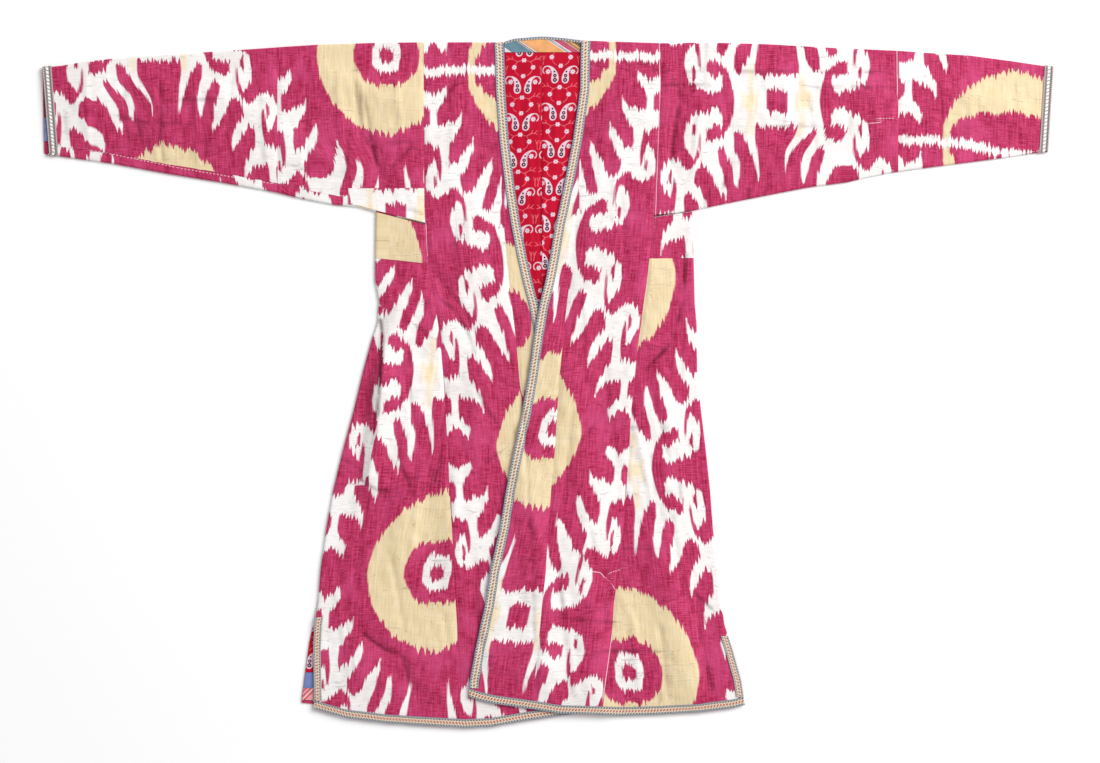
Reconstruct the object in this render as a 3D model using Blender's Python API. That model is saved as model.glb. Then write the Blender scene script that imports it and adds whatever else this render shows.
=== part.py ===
"""Uzbek chapan robe of ikat cloth, laid flat on its back with the right front over the left.

+X runs to the right of the laid robe, +Y towards the neck and +Z up from the floor. Outlines are
tables of real millimetres: across from the middle line, and drop from the neck down to the hem.
Each panel is a grid of points on the middle of its cloth, given a wall on both sides."""

import math

import bpy
import numpy as np

MM = 0.001

# Layers, from the floor up (mm).
WALL = 2.0  # ikat and lining together
THIN = 1.0  # lining, facings and tape
GAP = 0.4  # clear space between layers
SEAM = 0.6  # clear space between pieces at a seam
BACK_MID = WALL / 2
LINING_MID = WALL + GAP + THIN / 2
FACING_MID = LINING_MID + THIN + GAP
FRONT_MID = 4.8
FOLD_RADIUS = (FRONT_MID - BACK_MID) / 2
FOLD_STEPS = 3
TAPE_GAP = 0.5
TAPE_LIFT = WALL / 2 + TAPE_GAP + THIN / 2
LAP_LIFT = 4.4  # the right front over the left front and its tape
PATCH_LIFT = WALL / 2 + GAP + THIN / 2

# Widths and lengths (mm).
LENGTH = 1139.0
CENTRE_X = 0.48
CENTRE_DROP = 569.2
TAPE = 15.0
VENT_TAPE = 12.0
CUFF_TAPE = 12.0
HEM_TAPE = 14.0
LOFT = 4.0  # the padded cloth's rise away from its edges
LOFT_START = 18.0
LOFT_RUN = 60.0
FLAT_EDGE, FLAT_RUN = 4.0, 30.0  # folds start past this strip along each edge, over this run
FOLD_FADE = 60.0  # how far a fold fades out past its ends
LAP_START, LAP_RUN = 48.0, 34.0  # the right front has climbed over the left this far from its edge
LAP_DROP, LAP_FADE = 400.0, 60.0  # the left front is pressed flat under the right from this drop on
UNDER_EDGE, UNDER_RUN = 4.0, 30.0
SWEEP_START, SWEEP_RUN = 300.0, 800.0  # where the rows start to bend towards the hem, and how fast
BACK_SWEEP_START, BACK_SWEEP_RUN = 600.0, 500.0
TILT_ROWS = 6  # a raised row end is level again this many rows below the gusset
BACK_TILT_END, BACK_TILT_RUN = 560.0, 250.0
TOP_ROOM = 1.0  # between the neck's edge and the back's

# Body outline, a row per height: drop, then across at left side, left body seam, left gore seam, left
# front edge, right front edge, right gore seam, right body seam and right side.
BODY = np.array(
    [
        (8, -283, -204, -73.6, -73, 56, 55.4, 186, 237),
        (87, -283, -204, -71.6, -70, 54, 55.0, 186, 237),
        (170, -283, -203.6, -73, -64, 42, 54, 183, 237),
        (252, -283, -203.2, -76, -54, 26, 51, 178, 237),
        (290, -283, -202.6, -74, -48, 18, 48, 176, 238),
        (309, -283, -201.6, -72, -45, 13.5, 46.5, 174, 239),
        (365, -284, -198, -67, -34, 4, 41, 168, 241),
        (409, -284, -191, -63, -24, -5, 36, 163, 242),
        (442, -278, -185, -59, -15, -13, 32, 158, 243),
        (475, -280, -180, -55, -9, -19, 28, 154, 246),
        (508, -291, -176, -51, -4, -24, 25, 149, 246),
        (558, -305, -172, -47, 5, -31, 20, 145, 247),
        (615, -319, -168, -41, 14, -41, 16, 138, 253),
        (681, -337, -164, -36, 25, -55, 12, 134, 261),
        (747, -353, -161, -33, 35, -68, 6, 130, 268),
        (813, -365, -157, -30, 44, -79, 1, 125, 273),
        (879, -374, -154, -27, 52, -94, -3, 117, 281),
        (937, -379, -151, -25, 59, -103, -9, 109, 287),
        (970, -384, -149, -24, 63, -110, -12, 107, 292),
        (1011, -386, -148, -22, 67, -119, -16, 103, 305),
        (1061, -385, -147, -21, 72, -128, -21, 96, 319),
        (1114, -384, -146, -19, 77, -130, -25, 90, 327),
    ],
    float,
)
LEFT_COLUMNS = (1, 2, 3, 4)
RIGHT_COLUMNS = (8, 7, 6, 5)

# Hems: across, drop.
HEM_LEFT = [(-386, 1107), (-331, 1123), (-266, 1131), (-204, 1135), (-136, 1139), (-93, 1137), (-42, 1128),
            (12, 1120), (78, 1112)]
HEM_RIGHT = [(-134, 1086), (-110, 1094), (-87, 1099), (-50, 1104), (-16, 1109), (21, 1115), (85, 1117),
             (120, 1119), (186, 1117), (252, 1113), (308, 1106), (328, 1101)]
HEM_BACK = [(-408, 1098), (-386, 1100), (-331, 1116), (-204, 1127), (-50, 1121), (12, 1112), (85, 1109),
            (252, 1105), (328, 1093)]
BACK_SIDE_LEFT = [(280, -279), (409, -279), (442, -273), (475, -275), (508, -286), (558, -300), (615, -314),
                  (681, -332), (747, -348), (813, -360), (879, -369), (937, -374), (958, -376), (975, -388),
                  (1000, -393), (1043, -399), (1090, -405), (1110, -406)]
BACK_SIDE_RIGHT = [(280, 232), (409, 237), (475, 241), (558, 242), (615, 248), (681, 256), (747, 263),
                   (813, 268), (879, 276), (937, 282), (970, 286), (1011, 296), (1061, 308), (1110, 316)]

# Top fold and underside of the sleeves: across, drop.
TOP = [(-833, 51), (-798, 48), (-753, 40), (-722, 37), (-601, 28), (-497, 21), (-443, 17), (-380, 13),
       (-285, 10), (-204, 9), (-73, 9), (56, 6), (186, 10.5), (263, 9.5), (356, 12), (466, 18), (578, 23),
       (618, 26), (695, 31), (761, 40), (821, 49), (834, 50)]
UNDER_LEFT = [(-831, 194), (-813, 196), (-719, 209), (-626, 226), (-539, 240), (-450, 256), (-405, 267),
              (-352, 277), (-311, 281), (-284, 289), (-203, 309)]
UNDER_RIGHT = [(177, 297), (212, 292), (243, 287), (288, 277), (332, 268), (387, 257), (433, 248),
               (494, 240), (532, 231), (567, 224), (603, 219), (666, 211), (761, 199), (813, 191), (826, 190)]
NECK = [(-72, 9), (-55, 3.5), (-14, 0), (-2, 0), (27, 2.5), (55, 6)]
CUFF_DROPS = (51, 192)
CUFF_LEFT = (-832, -821)  # across at the cuff's top and at its underside
CUFF_LEFT_BACK = (-833, -830)
CUFF_RIGHT = (834, 825)
CUFF_RIGHT_BACK = (833, 824)
SLEEVE_JOIN_LEFT = -445.0
SLEEVE_JOIN_RIGHT = 578.0
SEAM_UP = 15.0  # the underarm seam lies this far from the fold: on the left's front, on the right's back
BACK_ARMHOLE_ROOM = 1.2
PATCH_TOP = 250.0
PATCH_START = -328.0
LINING_JOIN = -9.0
LINING_END = 455.0
LINING_UNDER = 16.0  # how far the lining runs under the fronts
FACING_DROP = 25.5
NECK_TAPE = 4.0
CUFF_FACING = (91, 172)  # drops
VENT_LINING = (970, 1048)
VENT_FACING = (1048, 1074)
VENT_RIBBON = (1074, 1094)
VENT_UNDER = 34.0
CUFF_UNDER = 22.0
EDGE_ROOM = 0.8  # a facing starts this far in from the edge it faces

# Rows of the body, as drops at the longest hem, and where the gussets and vents start and end.
SHOULDER_ROWS = [9, 87, 180]
SKIRT_ROWS = [409, 444, 478, 512, 546, 582, 618, 656, 694, 734, 774, 814, 856, 898, 940, 982, 1016, 1052,
              1090, LENGTH - HEM_TAPE, LENGTH]
BACK_ROWS = [374, 409, 442, 475, 508, 558, 615, 681, 747, 813, 879, 940, 975, 994, 1016, 1052, 1090, LENGTH]
SIDE_CELLS, STRIP_CELLS, GORE_CELLS = 6, 5, 3
SEAM_COLUMN = FOLD_STEPS + SIDE_CELLS
GORE_COLUMN = SEAM_COLUMN + STRIP_CELLS
GUSSET_TOP_ROW = 3
GUSSET_END_ROW = 5
GUSSET_LEFT = (310, 374, -20.5, -8.5)  # top and end at the seam, then the rise of each outer end
GUSSET_RIGHT = (298, 366, -9.5, -1.0)
VENT_ROW_LEFT = 21
VENT_ROW_RIGHT = 22

# Folds, a row each: from (across, drop) to (across, drop), rise (below 0 for a crease), the run on its
# left and on its right.
FOLDS = [
    (-275, 448, -284, 575, 8, 16, 70),
    (-284, 575, -292, 720, 7, 20, 70),
    (-219, 580, -243, 860, 4, 34, 40),
    (-179, 405, -131, 484, -3, 26, 26),
    (-172, 640, -150, 900, 4, 36, 34),
    (-301, 985, -227, 1071, -3, 26, 26),
    (-112, 560, -128, 800, 4, 34, 34),
    (45, 560, 88, 830, 5, 38, 42),
    (-34, 740, 2, 1080, 4, 30, 36),
    (60, 860, 70, 1090, 3, 40, 40),
    (178, 840, 235, 1090, 5, 44, 40),
    (255, 900, 271, 1068, -4, 24, 24),
    (200, 620, 214, 800, 3, 34, 34),
    (225, 366, 224, 434, -3, 24, 24),
    (224, 434, 163, 549, -3, 24, 24),
    (225, 60, 205, 205, -3, 24, 24),
    (304, 180, 290, 250, -3, 24, 24),
    (360, 60, 520, 90, 3, 36, 40),
    (620, 70, 760, 120, 2, 30, 34),
    (-639, 70, -630, 200, 2.5, 44, 44),
    (-318, 120, -276, 232, -3, 28, 28),
    (-380, 60, -240, 110, 3, 40, 40),
    (-560, 90, -450, 150, 2.5, 40, 40),
]


def smooth(value):
    """A soft step from 0 to 1."""
    value = np.clip(value, 0, 1)
    return value * value * (3 - 2 * value)


def along(table, at):
    table = sorted(table)
    return np.interp(at, [row[0] for row in table], [row[1] for row in table])


def body_x(column, drop):
    return np.interp(drop, BODY[:, 0], BODY[:, column])


def distance_to_line(x, drop, line):
    """The shortest distance from each point to a line of joined points."""
    nearest = np.full(np.shape(x), 1e9)
    for (x0, d0), (x1, d1) in zip(line[:-1], line[1:]):
        run, fall = x1 - x0, d1 - d0
        t = np.clip(((x - x0) * run + (drop - d0) * fall) / (run * run + fall * fall), 0, 1)
        nearest = np.minimum(nearest, np.hypot(x - x0 - t * run, drop - d0 - t * fall))
    return nearest


def outline():
    """The laid robe's edges, all of which stay low: outside, then down and up the neck opening."""
    sides_left = [(x, d) for d, x in BODY[5:, [0, 1]]]
    sides_right = [(x, d) for d, x in BODY[5:, [0, 8]]]
    upper = BODY[:, 0] < 450
    return [
        TOP,
        [(CUFF_LEFT[0], 51), (CUFF_LEFT[1], 194)],
        [(CUFF_RIGHT[0], 50), (CUFF_RIGHT[1], 190)],
        [p for p in UNDER_LEFT if p[0] < -283],
        [p for p in UNDER_RIGHT if p[0] > 240],
        sides_left,
        sides_right,
        HEM_LEFT[:6],
        HEM_RIGHT,
        [(x, d) for d, x in BODY[upper][:, [0, 4]]],
        [(x, d) for d, x in BODY[upper][:, [0, 5]]],
    ]


OUTLINE = outline()


def rise(x, drop):
    """How far the front of the robe stands above its flat layer."""
    x, drop = np.asarray(x, float), np.asarray(drop, float)
    edge = np.min([distance_to_line(x, drop, line) for line in OUTLINE], axis=0)
    height = LOFT * smooth((edge - LOFT_START) / LOFT_RUN)
    for x0, d0, x1, d1, top, left, right in FOLDS:
        run, fall = x1 - x0, d1 - d0
        length = math.hypot(run, fall)
        t = ((x - x0) * run + (drop - d0) * fall) / length**2
        off = ((x - x0) * fall - (drop - d0) * run) / length
        side = np.where(off < 0, left, right)
        across = np.clip(1 - np.abs(off) / side, 0, 1)
        ends = smooth(1 + t * length / FOLD_FADE) * smooth(1 + (1 - t) * length / FOLD_FADE)
        height = height + top * smooth(across) * ends * smooth((edge - FLAT_EDGE) / FLAT_RUN)
    return np.maximum(height, 0)


def front_height(x, drop, right):
    """The middle of a front panel's cloth: the right front climbs over the left front's edge."""
    lap = x - body_x(4, drop)
    if right:
        return FRONT_MID + rise(x, drop) + LAP_LIFT * smooth((LAP_START - lap) / LAP_RUN)
    under = smooth((x - body_x(5, drop) + UNDER_EDGE) / UNDER_RUN) * smooth((drop - LAP_DROP) / LAP_FADE)
    return FRONT_MID + rise(x, drop) * (1 - under)


def place(x, drop, z):
    """Laid millimetres to metres in the part's frame."""
    x, drop, z = np.broadcast_arrays(np.asarray(x, float), drop, z)
    return np.stack([(x - CENTRE_X) * MM, (CENTRE_DROP - drop) * MM, z * MM], axis=-1)


def normals(grid):
    normal = np.cross(np.gradient(grid, axis=1), np.gradient(grid, axis=0))
    return normal / np.linalg.norm(normal, axis=2, keepdims=True)


def moved_out(grid, lift):
    """The same grid of points, moved off the panel's upper face by a lift in millimetres."""
    normal = normals(grid)
    return grid + normal * math.copysign(lift * MM, normal[..., 2].mean())


def inset(grid, first=0.0, last=0.0, axis=1):
    """The grid with its first and last lines drawn in by some millimetres."""
    grid = np.swapaxes(grid, 0, axis).copy()
    for at, nearer, amount in ((0, 1, first), (-1, -2, last)):
        step = grid[nearer] - grid[at]
        grid[at] = grid[at] + step / np.linalg.norm(step, axis=-1, keepdims=True) * amount * MM
    return np.swapaxes(grid, 0, axis)


PINK = (0.78, 0.20, 0.43)
YELLOW = (0.95, 0.87, 0.64)
RED = (0.78, 0.10, 0.24)
ORANGE = (0.90, 0.64, 0.40)
VIOLET = (0.44, 0.50, 0.72)
ROSE = (0.80, 0.36, 0.38)
DARK_RED = (0.48, 0.10, 0.16)
TAPE_GREY = (0.62, 0.62, 0.58)


def material(name, colour):
    made = bpy.data.materials.new(name)
    made.use_nodes = True
    shader = made.node_tree.nodes["Principled BSDF"]
    linear = [((c + 0.055) / 1.055) ** 2.4 if c > 0.04045 else c / 12.92 for c in colour]
    shader.inputs["Base Color"].default_value = (*linear, 1)
    shader.inputs["Roughness"].default_value = 0.85
    shader.inputs["Metallic"].default_value = 0.0
    return made


def cloth(name, grid, wall, colour):
    """A closed wall on both sides of a grid of points."""
    normal = normals(grid) * (wall / 2 * MM)
    rows, columns = grid.shape[:2]
    count = rows * columns
    index = np.arange(count).reshape(rows, columns)
    faces = []
    for r in range(rows - 1):
        for c in range(columns - 1):
            a, b, e, f = index[r, c], index[r, c + 1], index[r + 1, c + 1], index[r + 1, c]
            faces.append((a, b, e, f))
            faces.append((a + count, f + count, e + count, b + count))
    border = [*index[0, :], *index[1:, -1], *index[-1, -2::-1], *index[-2:0:-1, 0]]
    for a, b in zip(border, border[1:] + border[:1]):
        faces.append((b, a, a + count, b + count))
    mesh = bpy.data.meshes.new(name)
    points = np.concatenate([(grid + normal).reshape(-1, 3), (grid - normal).reshape(-1, 3)])
    mesh.from_pydata(points.tolist(), [], [tuple(int(i) for i in face) for face in faces])
    mesh.update()
    if sum(face.area * face.normal.dot(face.center) for face in mesh.polygons) < 0:
        mesh.flip_normals()
    made = bpy.data.objects.new(name, mesh)
    bpy.context.scene.collection.objects.link(made)
    mesh.materials.append(material(name + "_cloth", colour))
    return made


def body_rows(gusset):
    top, end = gusset[:2]
    return [*SHOULDER_ROWS, top, (top + end) / 2, end, *SKIRT_ROWS]


def row_tilt(number, gusset):
    """How far the outer end of a row is raised, fading out below the gusset."""
    sleeve_tilt, end_tilt = gusset[2:]
    if number <= GUSSET_END_ROW:
        return np.interp(number, [GUSSET_TOP_ROW, GUSSET_END_ROW], [sleeve_tilt, end_tilt])
    return end_tilt * max(0.0, 1 - (number - GUSSET_END_ROW) / TILT_ROWS)


def row_of_body(station, columns, outward):
    """Where a row's columns stand across: side, side piece, strip and gore, out to the front edge."""
    side, seam, gore, edge = (body_x(c, station) for c in columns)
    side -= outward * (FOLD_RADIUS + WALL / 2)
    tape_line = edge + outward * TAPE
    if (tape_line - gore) * outward > -4:
        tape_line = (gore + edge) / 2
    vent_line = side - outward * (VENT_TAPE - FOLD_RADIUS - WALL / 2)
    side_piece = np.linspace(vent_line, seam, SIDE_CELLS)
    strip = np.linspace(seam, gore, STRIP_CELLS + 1)[1:]
    return np.array([side, *side_piece, *strip, *np.linspace(gore, tape_line, GORE_CELLS)[1:], edge])


def fold_down(side, drop, outward, flat):
    """Points that turn from the front layer to the back round the folded side, or lie flat past it."""
    points = []
    for step in range(FOLD_STEPS, 0, -1):
        turn = math.pi * step / FOLD_STEPS
        out = FOLD_RADIUS * math.sin(turn) * (1 - flat)
        out += flat * (FOLD_RADIUS + WALL / 2) * step / FOLD_STEPS
        down = FOLD_RADIUS * (1 - math.cos(turn)) * (1 - flat)
        points.append(place(side + out * outward, drop, FRONT_MID - down))
    return points


def front_grid(columns, hem, gusset, vent_row, outward):
    """One side's whole front: rows down the body, columns from the side to the front edge."""
    right = outward > 0
    grid = []
    for number, station in enumerate(body_rows(gusset)):
        x = row_of_body(station, columns, outward)
        share = smooth((station - SWEEP_START) / SWEEP_RUN)
        drop = station * (1 + (along(hem, x) / LENGTH - 1) * share)
        x = np.array([row_of_body(d, columns, outward)[i] for i, d in enumerate(drop)])
        if number == 0:
            drop = along(TOP, x) + FOLD_RADIUS + WALL / 2
        drop = drop + row_tilt(number, gusset) * np.clip((x - x[SIDE_CELLS]) / (x[0] - x[SIDE_CELLS]), 0, 1)
        flat = float(number >= vent_row)
        points = fold_down(x[0], drop[0], outward, flat)
        grid.append(points + list(place(x, drop, front_height(x, drop, right))))
    return np.array(grid)


def top_turn(grid):
    """Rows that turn over the shoulder to the back, added above a strip's first row."""
    turned = []
    for step in range(FOLD_STEPS, 0, -1):
        turn = math.pi * step / FOLD_STEPS
        row = grid[0].copy()
        row[:, 1] += FOLD_RADIUS * math.sin(turn) * MM
        row[:, 2] -= FOLD_RADIUS * (1 - math.cos(turn)) * MM
        turned.append(row)
    return np.concatenate([np.array(turned), grid])


def front_tape(grid, gusset, outward):
    """The tape's points along a front edge. Near the neck it crosses the gore seam on the flat."""
    tape = grid[:-1, -2:].copy()
    for number, station in enumerate(body_rows(gusset)[: GUSSET_END_ROW + 2]):
        x, drop = tape[number, 1, 0] / MM + CENTRE_X + outward * TAPE, CENTRE_DROP - tape[number, 1, 1] / MM
        tape[number, 0] = place(x, drop, front_height(x, drop, outward > 0))
    tape[0, :, 1] += FOLD_RADIUS * MM
    return tape


def build_front(name, columns, hem, gusset, vent_row, outward):
    grid = front_grid(columns, hem, gusset, vent_row, outward)
    half = SEAM / 2
    strip = top_turn(grid[:, SEAM_COLUMN: GORE_COLUMN + 1])
    cloth("front_strip_" + name, inset(strip, half, half), WALL, PINK)
    gore = grid[2:, GORE_COLUMN:]
    cloth("front_gore_" + name, inset(gore, half, 0), WALL, PINK)
    side = grid[GUSSET_END_ROW:, : SEAM_COLUMN + 1]
    cloth("side_front_" + name, inset(inset(side, 0, half), half, 0, axis=0), WALL, PINK)
    piece = grid[GUSSET_TOP_ROW: GUSSET_END_ROW + 1, : SEAM_COLUMN + 1]
    cloth("gusset_" + name, inset(inset(piece, 0, half), 2 * SEAM, half, axis=0), WALL, YELLOW)

    tape = moved_out(front_tape(grid, gusset, outward), TAPE_LIFT)
    cloth("trim_front_" + name, inset(tape, 0, SEAM, axis=0), THIN, TAPE_GREY)
    vent = moved_out(grid[vent_row:-1, : FOLD_STEPS + 2], TAPE_LIFT)
    cloth("trim_vent_" + name, inset(vent, 0, SEAM, axis=0), THIN, TAPE_GREY)
    cloth("trim_hem_" + name, moved_out(grid[-2:], TAPE_LIFT), THIN, TAPE_GREY)


def sleeve_ring(x_front, x_back, top, under, left):
    """A closed ring round a flattened sleeve, from the fold under the arm up the front and down the back.

    It gives across, drop and height for each point, and the place of the underarm seam among them."""
    turn_room = FOLD_RADIUS + WALL / 2
    low, high = under - turn_room, top + turn_room
    seam = under - SEAM_UP
    patch = min(PATCH_TOP, under - 29.5)
    front = [low, seam, *np.linspace(patch, high, 5)] if left else [*np.linspace(low, high, 6)]
    back = [*np.linspace(high, low, 4)] if left else [*np.linspace(high, seam, 3), low]
    steps = [math.pi * step / FOLD_STEPS for step in range(1, FOLD_STEPS)]
    ring = [(x_front, drop, None) for drop in front]
    for turn in steps:
        share = turn / math.pi
        ring.append((x_front + (x_back - x_front) * share, high - FOLD_RADIUS * math.sin(turn),
                     FRONT_MID - FOLD_RADIUS * (1 - math.cos(turn))))
    ring += [(x_back, drop, BACK_MID) for drop in back]
    for turn in steps:
        share = turn / math.pi
        ring.append((x_back + (x_front - x_back) * share, low + FOLD_RADIUS * math.sin(turn),
                     BACK_MID + FOLD_RADIUS * (1 - math.cos(turn))))
    seam_at = 1 if left else len(front) + len(steps) + len(back) - 2
    return ring, seam_at, len(front)


def sleeve_grid(shares, ends, left):
    """Rings along a stretch of sleeve. Ends are functions that give across for a drop and a layer."""
    rings = []
    for share in shares:
        middle = (1 - share) * ends[0](180, False) + share * ends[1](120, False)
        top, under = along(TOP, middle), along(UNDER_LEFT if left else UNDER_RIGHT, middle)
        ring, seam_at, front_count = sleeve_ring(0.0, 1.0, top, under, left)
        points = []
        for layer, drop, z in ring:
            x = sum(
                part * weight
                for part, weight in (
                    ((1 - share) * (1 - layer), ends[0](drop, False)),
                    ((1 - share) * layer, ends[0](drop, True)),
                    (share * (1 - layer), ends[1](drop, False)),
                    (share * layer, ends[1](drop, True)),
                )
            )
            points.append(place(x, drop, front_height(x, drop, not left) if z is None else z))
        rings.append(points)
    return np.array(rings), seam_at, front_count


def opened(rings, seam_at):
    """The rings cut at the underarm seam, with a little room between its edges."""
    around = np.concatenate([rings[:, seam_at:], rings[:, : seam_at + 1]], axis=1)
    return inset(around, 0, SEAM)


def build_sleeve(name, outward, seam_column, join, cuff, cuff_back):
    left = outward < 0
    half = SEAM / 2

    def armhole(drop, back):
        return body_x(seam_column, drop) + outward * (BACK_ARMHOLE_ROOM if back else 0)

    def at_join(drop, back):
        return join

    def at_cuff(drop, back):
        return np.interp(drop, CUFF_DROPS, cuff_back if back else cuff)

    outer_length = abs(at_cuff(120, False) - join)
    shares = list(np.linspace(0, 1, 9))
    if left:
        patch_share = (PATCH_START - body_x(seam_column, 180)) / (join - body_x(seam_column, 180))
        shares = [*np.linspace(0, patch_share, 5), *np.linspace(patch_share, 1, 5)[1:]]
    inner, seam_at, front_count = sleeve_grid(shares, (armhole, at_join), left)
    cloth("sleeve_inner_" + name, inset(opened(inner, seam_at), half, half, axis=0), WALL, PINK)
    cells = round(outer_length / 32)
    shares = [*np.linspace(0, 1 - CUFF_TAPE / outer_length, cells), 1]
    outer, seam_at, front_count = sleeve_grid(shares, (at_join, at_cuff), left)
    cloth("sleeve_outer_" + name, inset(opened(outer, seam_at), half, 0, axis=0), WALL, PINK)
    around = np.concatenate([outer[-2:, -1:], outer[-2:, : front_count + 1]], axis=1)
    cloth("trim_cuff_" + name, moved_out(around, TAPE_LIFT), THIN, TAPE_GREY)
    if left:
        piece = np.concatenate([inner[:5, -1:], inner[:5, :3]], axis=1)
        cloth("patch_sleeve_left", moved_out(inset(piece, half, 0, axis=0), PATCH_LIFT), THIN, PINK)


def flat_piece(name, rows, z, wall, colour):
    """A flat piece from rows of (across, drop) points."""
    grid = np.array([[place(x, drop, z) for x, drop in row] for row in rows])
    cloth(name, grid, wall, colour)


def back_drop(x, station):
    """A back row's drop: level near the top and following the hem near the bottom."""
    share = smooth((station - BACK_SWEEP_START) / BACK_SWEEP_RUN)
    return station * (1 + (along(HEM_BACK, x) / LENGTH - 1) * share)


def build_back():
    turn_room = FOLD_RADIUS + WALL / 2 + SEAM
    neck_left, neck_right = -72.0, 54.0
    top_x = [-204, -140, neck_left, -68, -55, -35, -14, 6, 27, 50, neck_right, 120, 186]
    rows = []
    for station in [0, 60, 150, 240, 310, *BACK_ROWS]:
        row = []
        for start_x in top_x:
            left = body_x(2, station) + SEAM / 2
            right = body_x(7, station) - SEAM / 2
            x = left + (right - left) * (start_x - top_x[0]) / (top_x[-1] - top_x[0])
            drop = back_drop(x, station)
            if station == 0:
                in_neck = neck_left < start_x < neck_right
                drop = along(NECK, x) + TOP_ROOM if in_neck else along(TOP, x) + turn_room
            row.append((x, drop))
        rows.append(row)
    flat_piece("back_center", rows, BACK_MID, WALL, PINK)
    for name, seam_column, table, under, gusset in (
        ("left", 2, BACK_SIDE_LEFT, UNDER_LEFT, GUSSET_LEFT),
        ("right", 7, BACK_SIDE_RIGHT, UNDER_RIGHT, GUSSET_RIGHT),
    ):
        outward = -1 if name == "left" else 1
        rows = []
        for station in [gusset[0], 340, *BACK_ROWS]:
            seam = body_x(seam_column, station) + outward * SEAM / 2
            side = along(table, back_drop(along(table, station), station))
            row = []
            for part in (0, 0.5, 1):
                x = seam + (side - seam) * part
                level = smooth((BACK_TILT_END - station) / BACK_TILT_RUN)
                drop = back_drop(x, station) + gusset[2] * part * level
                row.append((x, along(under, x) + SEAM if station == gusset[0] else drop))
            rows.append(row)
        flat_piece("side_back_" + name, rows, BACK_MID, WALL, PINK)


def lining_top(x):
    """Where the lining starts: near the neck's edge, and below the shoulder folds under the fronts."""
    under_front = x < body_x(4, 8) or x > body_x(5, 8)
    return along(TOP, x) + FOLD_RADIUS + WALL + SEAM if under_front else along(NECK, x) + 3


def build_linings():
    left_rows, right_rows = [], []
    for step in np.linspace(0, 1, 12):
        drop = LINING_END * step
        start, end = body_x(4, drop) - LINING_UNDER, body_x(5, drop) + LINING_UNDER
        join_left, join_right = LINING_JOIN - SEAM / 2, LINING_JOIN + SEAM / 2
        left = [start, min(start + LINING_UNDER - 0.5, join_left - 2),
                min(start + LINING_UNDER + 1.5, join_left - 1), join_left]
        right = [join_right, max(end - LINING_UNDER - 1.5, join_right + 1),
                 max(end - LINING_UNDER + 0.5, join_right + 2), end]
        left_rows.append([(x, drop + lining_top(x) * (1 - step)) for x in left])
        right_rows.append([(x, drop + lining_top(x) * (1 - step)) for x in right])
    flat_piece("lining_left", left_rows, LINING_MID, THIN, RED)
    flat_piece("lining_right", right_rows, LINING_MID, THIN, RED)
    neck_x = np.linspace(body_x(4, 8) + 1.4, body_x(5, 8) - 1.4, 12)
    facing = [[(x, along(NECK, x) + 0.5) for x in neck_x],
              [(x * 0.985, FACING_DROP) for x in neck_x]]
    flat_piece("facing_neck", facing, FACING_MID, THIN, ORANGE)
    tape = [[(x, along(NECK, x)) for x in neck_x], [(x, along(NECK, x) + NECK_TAPE) for x in neck_x]]
    flat_piece("trim_neck", tape, FACING_MID + THIN + GAP, THIN, TAPE_GREY)

    top, end = CUFF_FACING
    cuff = []
    for drop in (top, end):
        edge = np.interp(drop, CUFF_DROPS, CUFF_LEFT_BACK) + EDGE_ROOM
        cuff.append([(edge, drop), (edge + CUFF_UNDER, drop)])
    flat_piece("facing_cuff_left", cuff, LINING_MID, THIN, DARK_RED)
    for name, (top, end), colour in (
        ("lining_vent_left", VENT_LINING, RED),
        ("facing_vent_left", VENT_FACING, VIOLET),
        ("ribbon_vent_left", VENT_RIBBON, ROSE),
    ):
        drops = np.linspace(top + SEAM / 2, end - SEAM / 2, 3)
        edges = [along(BACK_SIDE_LEFT, drop) + EDGE_ROOM for drop in drops]
        piece = [[(edge, drop), (edge + VENT_UNDER, drop)] for edge, drop in zip(edges, drops)]
        flat_piece(name, piece, LINING_MID, THIN, colour)


def main():
    for thing in list(bpy.data.objects):
        bpy.data.objects.remove(thing, do_unlink=True)
    build_front("left", LEFT_COLUMNS, HEM_LEFT, GUSSET_LEFT, VENT_ROW_LEFT, -1)
    build_front("right", RIGHT_COLUMNS, HEM_RIGHT, GUSSET_RIGHT, VENT_ROW_RIGHT, 1)
    build_sleeve("left", -1, 2, SLEEVE_JOIN_LEFT, CUFF_LEFT, CUFF_LEFT_BACK)
    build_sleeve("right", 1, 7, SLEEVE_JOIN_RIGHT, CUFF_RIGHT, CUFF_RIGHT_BACK)
    build_back()
    build_linings()


main()
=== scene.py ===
# %% [markdown]
# An ikat coat robe, laid flat
#
# A chapan is a long coat robe from Uzbekistan. It is cut in straight strips, because hand looms are
# narrow, and every edge is bound with a woven tape. Here it lies on its back, right front over left.
# The solids of the robe are loaded first. Each cloth below is a thin shell on the form of its solid,
# with the creases, the dyed pattern and the tape that the solids leave out.

# %% Load the frame
import math

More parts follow.
